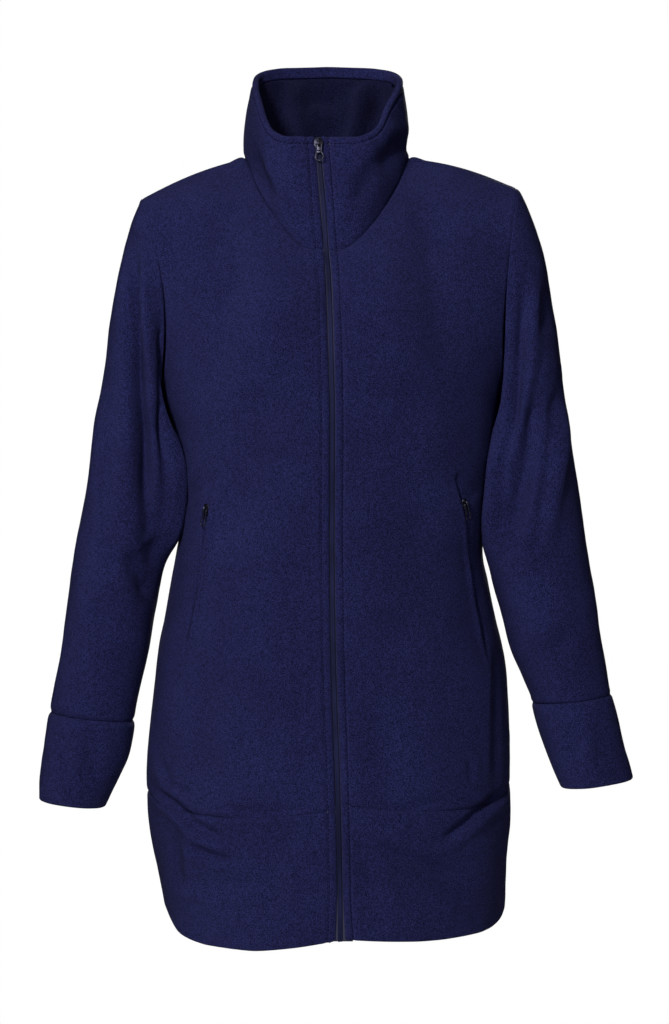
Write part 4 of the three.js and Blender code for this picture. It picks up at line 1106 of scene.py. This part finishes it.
def sleeve(side):
    rings = np.stack([ring(side, row) for row in (ARMHOLES[side], *SLEEVES[side])])[::-1]
    smooth = finer(rings, pitch=SLEEVE_PITCH, closed=True)
    seams = (Seam("low", *SEAM_CUFF), Seam("high", *SEAM_SIDE))
    grid = worn(smooth, SLEEVE_CREASES[side] + CUFF_CREASES[side], seams, closed=True, shared=("low",))
    cloth(f"sleeve_{side}", clear_of_body(side, grid), closed=True)


def cuff(side):
    rings = np.stack([ring(side, row) for row in (SLEEVES[side][-1], *CUFFS[side])])[::-1]
    grid = finer(rings, low=HEM_STEPS, closed=True)
    seams = (Seam("high", *SEAM_CUFF),)
    grid = worn(grid, SLEEVE_CREASES[side] + CUFF_CREASES[side], seams, closed=True, shared=("high",))
    cloth(f"cuff_{side}", rolled(grid, HEM_ROLL, HEM_TURN, closed=True), closed=True)


def joined(grid, lines):
    """Brings the low border of a piece up to the borders that it is sewn to."""
    start = np.concatenate([line[:-1] for line in lines])
    run = np.concatenate([np.diff(line, axis=0) for line in lines])
    edge = grid[0][:, None]
    part = np.clip(np.sum((edge - start) * run, axis=-1) / np.sum(run * run, axis=-1), 0, 1)
    places = start + run * part[..., None]
    away = np.linalg.norm(edge - places, axis=-1)
    nearest = np.argmin(away, axis=1)
    across = np.arange(len(nearest))
    shift = places[across, nearest] - grid[0]
    space = away[across, nearest][:, None]
    shift *= np.clip(space - SEAM_SPACE, 0, None) / np.maximum(space, SEAM_SPACE)
    fade = np.clip(1 - reach_from(grid, "low") / JOIN_REACH, 0, 1) ** 2
    return grid + shift * fade[..., None]


def collar(neck_lines):
    cut = collar_grid()
    face = finer(cut, high=RIM_STEPS, start=ZIP_STEPS, end=ZIP_STEPS)
    seams = (
        Seam("low", *SEAM_NECK),
        Seam("start", *ZIP_EDGE),
        Seam("end", *ZIP_EDGE),
        Seam("start", *ZIP_GROOVE),
        Seam("end", *ZIP_GROOVE),
        Seam("high", *RIM_GROOVE),
    )
    grid = joined(worn(face, COLLAR_CREASES, seams), neck_lines)
    rim = rolled(grid, RIM_ROLL / 2, STITCH_DEPTH, border="high", count=8)
    cloth("collar_outer", rim)

    hidden = (Seam("start", *UNSEEN), Seam("end", *UNSEEN))
    behind = worn(finer(cut, high=LINING_TOP), COLLAR_CREASES, hidden)
    lining = (behind - outward(behind) * RIM_ROLL)[:, ::-1]
    seams = (Seam("high", *LINING_EDGE), Seam("start", *ZIP_EDGE), Seam("end", *ZIP_EDGE))
    lining = worn(lining, LINING_CREASES, seams, seed=3.7)
    cloth("collar_inner", lining, look="lining")
    return grid


# Zips
CHAIN_HALF = 2.3
CHAIN_DEPTH = 1.9
CHAIN_WALL = 1.6
COIL_PITCH = 1.5
COIL_RISE = 0.16
COIL_STEP = 0.5
ZIP_LOW_Z = -823
ZIP_HIGH_Z = 13
POCKET_COIL_HALF = 1.5
POCKET_COIL_SINK = 1.3
POCKET_COIL_WALL = 1.0


def zip_line(step):
    """Points down the middle of the zip, with their outward direction."""
    z = np.linspace(ZIP_LOW_Z, ZIP_HIGH_Z, round((ZIP_HIGH_Z - ZIP_LOW_Z) / step) + 1)
    line = centre_front(z)
    run = np.gradient(line, axis=0)
    run[:, 0] = 0
    out = np.cross((1, 0, 0), run)
    return line, out / np.linalg.norm(out, axis=-1, keepdims=True)


def zip_tape(side):
    line, out = zip_line(4)
    reach = SIDES[side] * np.linspace(TAPE_SPACE / 2, TAPE_WIDTH, 5)
    across = np.sort(reach)
    grid = line[:, None] + across[None, :, None] * np.array((1, 0, 0)) - out[:, None] * TAPE_DEPTH
    name = f"zip_tape_{side}"
    cloth(name, grid, wall=TAPE_WALL, slot="zip_tape")


def coil_profile(across, along, half):
    """The coil's two rows of loops, half a pitch apart, rounded off towards the tape."""
    row = np.where(across < 0, 0.0, 0.5)
    loops = COIL_RISE * np.cos(2 * np.pi * (along / COIL_PITCH + row))
    crown = 0.35 * (1 - (np.abs(across) / half) ** 2)
    groove = -0.3 * np.exp(-((across / 0.35) ** 2))
    return loops * (np.abs(across) > 0.3) + crown + groove


def strip(name, line, out, sideways, half, sink, wall, nodes):
    """A coil strip along a line."""
    across = np.array((-1, -0.72, -0.4, -0.12, 0, 0.12, 0.4, 0.72, 1)) * half
    reach = np.concatenate([[0], np.cumsum(np.linalg.norm(np.diff(line, axis=0), axis=1))])
    height = coil_profile(across[None, :], reach[:, None], half) - sink
    grid = line[:, None] + sideways[:, None] * across[None, :, None] + out[:, None] * height[..., None]
    piece = finished(name, grid_mesh(grid), MATERIALS["zip_coil"])
    thick = piece.modifiers.new("wall", "SOLIDIFY")
    thick.thickness = wall * MM
    thick.offset = -1
    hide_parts(*nodes)
    return piece


def zip_coil():
    line, out = zip_line(COIL_STEP)
    sideways = np.broadcast_to(np.array((1.0, 0, 0)), line.shape)
    strip("zip_coil_main", line, out, sideways, CHAIN_HALF, CHAIN_DEPTH, CHAIN_WALL, ["zip_chain"])


def spots_on(grid, x, z):
    """The points of a panel that show at places of the front view, and their outward directions."""
    out = outward(grid)
    places, directions = [], []
    for at_x, at_z in zip(x, z):
        away = (grid[1:-1, 1:-1, 0] - at_x) ** 2 + (grid[1:-1, 1:-1, 2] - at_z) ** 2
        i, j = np.unravel_index(np.argmin(away), away.shape)
        i, j = i + 1, j + 1
        across = (grid[i, j + 1] - grid[i, j - 1]) / 2
        up = (grid[i + 1, j] - grid[i - 1, j]) / 2
        flat = np.array([[across[0], up[0]], [across[2], up[2]]])
        u, v = np.linalg.solve(flat, (at_x - grid[i, j, 0], at_z - grid[i, j, 2]))
        places.append(grid[i, j] + u * across + v * up)
        directions.append(out[i, j])
    return np.array(places), np.array(directions)


def pocket_line(side, smooth, step):
    rows = POCKETS[side]
    z = np.linspace(rows[-1].z, rows[0].z, round((rows[0].z - rows[-1].z) / step) + 1)
    coarse = np.linspace(rows[-1].z, rows[0].z, 24)
    places, out = spots_on(smooth, read(rows, "z", "x", coarse), coarse)
    line = np.stack([np.interp(z, coarse, places[:, k]) for k in range(3)], axis=-1)
    out = np.stack([np.interp(z, coarse, out[:, k]) for k in range(3)], axis=-1)
    out /= np.linalg.norm(out, axis=-1, keepdims=True)
    run = np.gradient(line, axis=0)
    sideways = np.cross(run, out)
    return line, out, sideways / np.linalg.norm(sideways, axis=-1, keepdims=True)


def pocket_coil(side, smooth):
    line, out, sideways = pocket_line(side, smooth, COIL_STEP)
    strip(
        f"pocket_coil_{side}",
        line,
        out,
        sideways,
        POCKET_COIL_HALF,
        POCKET_COIL_SINK,
        POCKET_COIL_WALL,
        [f"pocket_zip_{side}"],
    )
    return line[-1] - line[-40]


# Sliders and pulls, made round their hinge: X across the zip, Y into the cloth, Z up
Slider = namedtuple("Slider", "width foot length wall rise bail bail_wire")
Pull = namedtuple("Pull", "top waist loop bar_z loop_z length wire")
MAIN_SLIDER = Slider(9.6, 6.8, 14, 1.8, 1.3, 2.5, 0.75)
MAIN_PULL = Pull(3.1, 2.5, 4.3, -8.8, -14, 18.6, 0.68)
POCKET_SLIDER = Slider(7.4, 5.2, 11, 1.6, 1.3, 2.2, 0.62)
POCKET_PULL = Pull(2.6, 2.1, 3.5, -8.4, -14, 18.4, 0.58)


def hinge_frame(joint_name, up):
    """Puts pieces made round a hinge, in millimetres, in their place."""
    joint = next(joint for joint in frame["joints"] if joint["name"] == joint_name)
    across = -Vector(joint["axis"]).normalized()
    up = Vector(up)
    rise = (up - across * up.dot(across)).normalized()
    place = Matrix((across, rise.cross(across), rise)).transposed().to_4x4()
    place.translation = Vector(joint["pos_m"])
    return place @ Matrix.Scale(MM, 4)


def slab(bm, outline, front, back, rounding):
    """A plate with rounded edges between two depths, from its outline."""
    corners = [bm.verts.new((x, back, z)) for x, z in outline]
    face = bm.faces.new(corners)
    grown = bmesh.ops.extrude_face_region(bm, geom=[face])["geom"]
    moved = [v for v in grown if isinstance(v, bmesh.types.BMVert)]
    bmesh.ops.translate(bm, verts=moved, vec=(0, front - back, 0))
    parts_of = {v for v in moved} | set(corners)
    edges = [e for e in bm.edges if all(v in parts_of for v in e.verts)]
    bmesh.ops.bevel(bm, geom=edges, offset=rounding, segments=2, profile=0.5, affect="EDGES", material=-1)


def rod(bm, path, radius, closed=False, sides=8):
    """A round wire along a path of points."""
    path = [Vector(p) for p in path]
    count = len(path)
    rings = []
    for k, place in enumerate(path):
        before = path[k - 1] if closed or k else place
        after = path[(k + 1) % count] if closed or k < count - 1 else place
        run = (after - before).normalized()
        turn = Vector((0, 1, 0)).rotation_difference(run) if abs(run.y) > 0.9 else None
        first = run.cross(Vector((0, 1, 0))) if turn is None else run.cross(Vector((1, 0, 0)))
        first.normalize()
        second = run.cross(first)
        circle = bmesh.ops.create_circle(bm, segments=sides, radius=radius)["verts"]
        facing = Matrix((first, second, run)).transposed().to_4x4()
        facing.translation = place
        bmesh.ops.transform(bm, matrix=facing, verts=circle)
        rings.append({e for v in circle for e in v.link_edges})
    pairs = [(rings[k], rings[k + 1]) for k in range(count - 1)]
    if closed:
        pairs.append((rings[-1], rings[0]))
    for a, b in pairs:
        bmesh.ops.bridge_loops(bm, edges=list(a | b))
    if not closed:
        for ends in (rings[0], rings[-1]):
            bmesh.ops.contextual_create(bm, geom=list(ends))


def fitting(name, bm, place, nodes, body_name):
    bmesh.ops.transform(bm, matrix=place, verts=bm.verts)
    bmesh.ops.recalc_face_normals(bm, faces=bm.faces)
    piece = finished(name, bm, MATERIALS["zip_metal"], body_name)
    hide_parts(*nodes)


def zip_slider(name, size, place, nodes):
    bm = bmesh.new()
    half, foot, end = size.width / 2, size.foot / 2, size.length / 2
    outline = (
        (-half * 0.55, end),
        (half * 0.55, end),
        (half, end * 0.62),
        (half, -end * 0.1),
        (foot, -end * 0.55),
        (foot, -end),
        (-foot, -end),
        (-foot, -end * 0.55),
        (-half, -end * 0.1),
        (-half, end * 0.62),
    )
    slab(bm, outline, size.rise, size.rise + size.wall, 0.45)
    spine = ((-1.1, end * 0.86), (1.1, end * 0.86), (1.1, -end * 0.72), (-1.1, -end * 0.72))
    slab(bm, spine, size.rise - 0.5, size.rise + 0.4, 0.2)
    angles = np.linspace(-0.12, math.pi + 0.12, 15)
    arch = [(0, 0.2 - size.bail * math.sin(a), size.bail * 1.15 * math.cos(a)) for a in angles]
    for shift in (-0.45, 0.45):
        rod(bm, [(x + shift, y, z) for x, y, z in arch], size.bail_wire)
    fitting(name, bm, place, nodes, "jacket")


def zip_pull(name, size, place, nodes, body_name):
    """A pull: a keyhole of wire, with the bar in the bail and a plate above its loop."""
    bm = bmesh.new()
    loop_angles = np.linspace(math.radians(28), math.radians(-208), 15)
    centre = -(size.length - size.loop)
    loop = [(size.loop * math.cos(a), 0, centre + size.loop * math.sin(a)) for a in loop_angles]
    neck = (
        (size.waist, 0, size.bar_z),
        (size.top * 0.93, 0, size.bar_z * 0.45),
        (size.top, 0, -0.6),
        (size.top - 0.5, 0, 0),
    )
    left = [(-x, y, z) for x, y, z in neck]
    path = [*reversed(neck), *loop, *left]
    rod(bm, path, size.wire, closed=True)
    plate = (
        (-size.waist, size.bar_z + 0.9),
        (size.waist, size.bar_z + 0.9),
        (size.waist * 1.08, size.bar_z - 1.1),
        (-size.waist * 1.08, size.bar_z - 1.1),
    )
    slab(bm, plate, -0.42, 0.42, 0.2)
    fitting(name, bm, place, nodes, body_name)


# Sewing
STITCH_LENGTH = 3.1
STITCH_GAP = 1.1
THREAD = 0.42


def line_in(grid, border, at):
    """The points of a grid that lie one distance in from a border, and their outward directions."""
    if border in ("low", "high"):
        grid = grid.swapaxes(0, 1)
        out = outward(grid) * -1
        border = {"low": "start", "high": "end"}[border]
    else:
        out = outward(grid)
    reach = reach_from(grid, border)
    order = slice(None) if border == "start" else slice(None, None, -1)
    places = [
        [np.interp(at, reach[i][order], values[i][order, k]) for k in range(3)]
        for values in (grid, out)
        for i in range(len(grid))
    ]
    return np.array(places[: len(grid)]), np.array(places[len(grid) :])


def sew(bm, line, out):
    """Adds a row of stitches along a line."""
    reach = np.concatenate([[0], np.cumsum(np.linalg.norm(np.diff(line, axis=0), axis=1))])
    for start in np.arange(STITCH_GAP, reach[-1] - STITCH_LENGTH, STITCH_LENGTH + STITCH_GAP):
        ends = [
            Vector([np.interp(start + step, reach, line[:, k]) for k in range(3)])
            for step in (0, STITCH_LENGTH)
        ]
        middle = start + STITCH_LENGTH / 2
        away = Vector([np.interp(middle, reach, out[:, k]) for k in range(3)]).normalized()
        run = (ends[1] - ends[0]).normalized()
        aside = run.cross(away).normalized()
        place = Matrix((run * STITCH_LENGTH / 2, aside * THREAD, away * THREAD)).transposed().to_4x4()
        place.translation = (ends[0] + ends[1]) / 2 + away * THREAD * 0.5
        placed = Matrix.Scale(MM, 4) @ place
        bmesh.ops.create_uvsphere(bm, u_segments=6, v_segments=4, radius=1, matrix=placed)


def topstitching(grids, collar_face):
    bm = bmesh.new()
    for side, pieces in grids.items():
        for grid in pieces:
            sew(bm, *line_in(grid, zip_border(side), ZIP_STITCH))
    for border in ("start", "end"):
        sew(bm, *line_in(collar_face, border, ZIP_STITCH))
    sew(bm, *line_in(collar_face, "high", RIM_GROOVE[0]))
    bmesh.ops.recalc_face_normals(bm, faces=bm.faces)
    finished("topstitching", bm, MATERIALS["thread"])


panels = {side: front_panel(side) for side in SIDES}
back = back_panel()
bands = {side: front_band(side) for side in SIDES}
back_band()
collar_face = collar([grid[-1] for grid in (panels["right"][1], panels["left"][1], back)])
for side in SIDES:
    sleeve(side)
    cuff(side)
    zip_tape(side)
    up = pocket_coil(side, panels[side][0])
    place = hinge_frame(f"pocket_pull_{side}_swing", up)
    zip_slider(f"pocket_slider_{side}_metal", POCKET_SLIDER, place, [f"pocket_slider_{side}"])
    zip_pull(f"pocket_pull_{side}_metal", POCKET_PULL, place, [f"pocket_pull_{side}"], f"pocket_pull_{side}")
zip_coil()
top_line, _ = zip_line(1)
place = hinge_frame("main_pull_swing", top_line[-1] - top_line[-12])
zip_slider("zip_slider_metal", MAIN_SLIDER, place, ["zip_slider"])
zip_pull("zip_pull_metal", MAIN_PULL, place, ["zip_pull"], "main_pull")
topstitching({side: (bands[side], panels[side][1]) for side in SIDES}, collar_face)

# Floor, camera and light
FLOOR_Z = -1.46
FLOOR_RADIUS = 1.25
CAMERA_PLACE = (0.0081, -3.19805, -0.26848)
CAMERA_TILT = math.radians(88)
LENS = 104.17
SENSOR = 36
AIM = Vector((0.0, 0.0, -0.4))
Lamp = namedtuple("Lamp", "name place size power colour")
LAMPS = (
    Lamp("key", (-0.9, -2.65, 0.95), 0.5, 88, (1.0, 0.99, 0.98)),
    Lamp("fill", (1.3, -2.8, 0.1), 1.2, 14, (0.98, 0.99, 1.0)),
    Lamp("top", (0.0, 0.4, 1.7), 0.9, 4, (1.0, 1.0, 1.0)),
    Lamp("back_key", (0.5, 3.0, 0.9), 0.8, 72, (1.0, 1.0, 1.0)),
    Lamp("back_fill", (-0.7, 3.0, 0.0), 1.0, 16, (1.0, 1.0, 1.0)),
)
WORLD_LIGHT = 0.03

bm = bmesh.new()
bmesh.ops.create_circle(bm, cap_ends=True, segments=96, radius=FLOOR_RADIUS)
bmesh.ops.translate(bm, verts=bm.verts, vec=(0, 0, FLOOR_Z))
floor_mesh = bpy.data.meshes.new("floor")
bm.to_mesh(floor_mesh)
bm.free()
floor = bpy.data.objects.new("floor", floor_mesh)
bpy.context.scene.collection.objects.link(floor)
floor_material, tree, shader, _ = surface("floor")
shader.inputs["Base Color"].default_value = (0.85, 0.85, 0.85, 1)
shader.inputs["Roughness"].default_value = 0.9
floor_mesh.materials.append(floor_material)

camera_data = bpy.data.cameras.new("camera")
camera_data.sensor_fit = "VERTICAL"
camera_data.sensor_height = SENSOR
camera_data.lens = LENS
camera_data.clip_end = 50
camera = bpy.data.objects.new("camera", camera_data)
camera.location = CAMERA_PLACE
camera.rotation_euler = (CAMERA_TILT, 0, 0)
bpy.context.scene.collection.objects.link(camera)
bpy.context.scene.camera = camera

for lamp in LAMPS:
    light = bpy.data.lights.new(lamp.name, "AREA")
    light.shape = "DISK"
    light.size = lamp.size
    light.energy = lamp.power
    light.color = lamp.colour
    lamp_object = bpy.data.objects.new(lamp.name, light)
    lamp_object.location = lamp.place
    lamp_object.rotation_euler = (AIM - Vector(lamp.place)).to_track_quat("-Z", "Y").to_euler()
    bpy.context.scene.collection.objects.link(lamp_object)

bpy.context.scene.view_settings.view_transform = "Standard"
world = bpy.data.worlds.new("studio")
world.use_nodes = True
bpy.context.scene.world = world
tree = world.node_tree
light_path = add_node(tree, "ShaderNodeLightPath")
background = next(node for node in tree.nodes if node.type == "BACKGROUND")
strength = ranged(tree, light_path.outputs["Is Camera Ray"], 0, 1, WORLD_LIGHT, 1.0)
background.inputs["Color"].default_value = (1, 1, 1, 1)
tree.links.new(strength, background.inputs["Strength"])
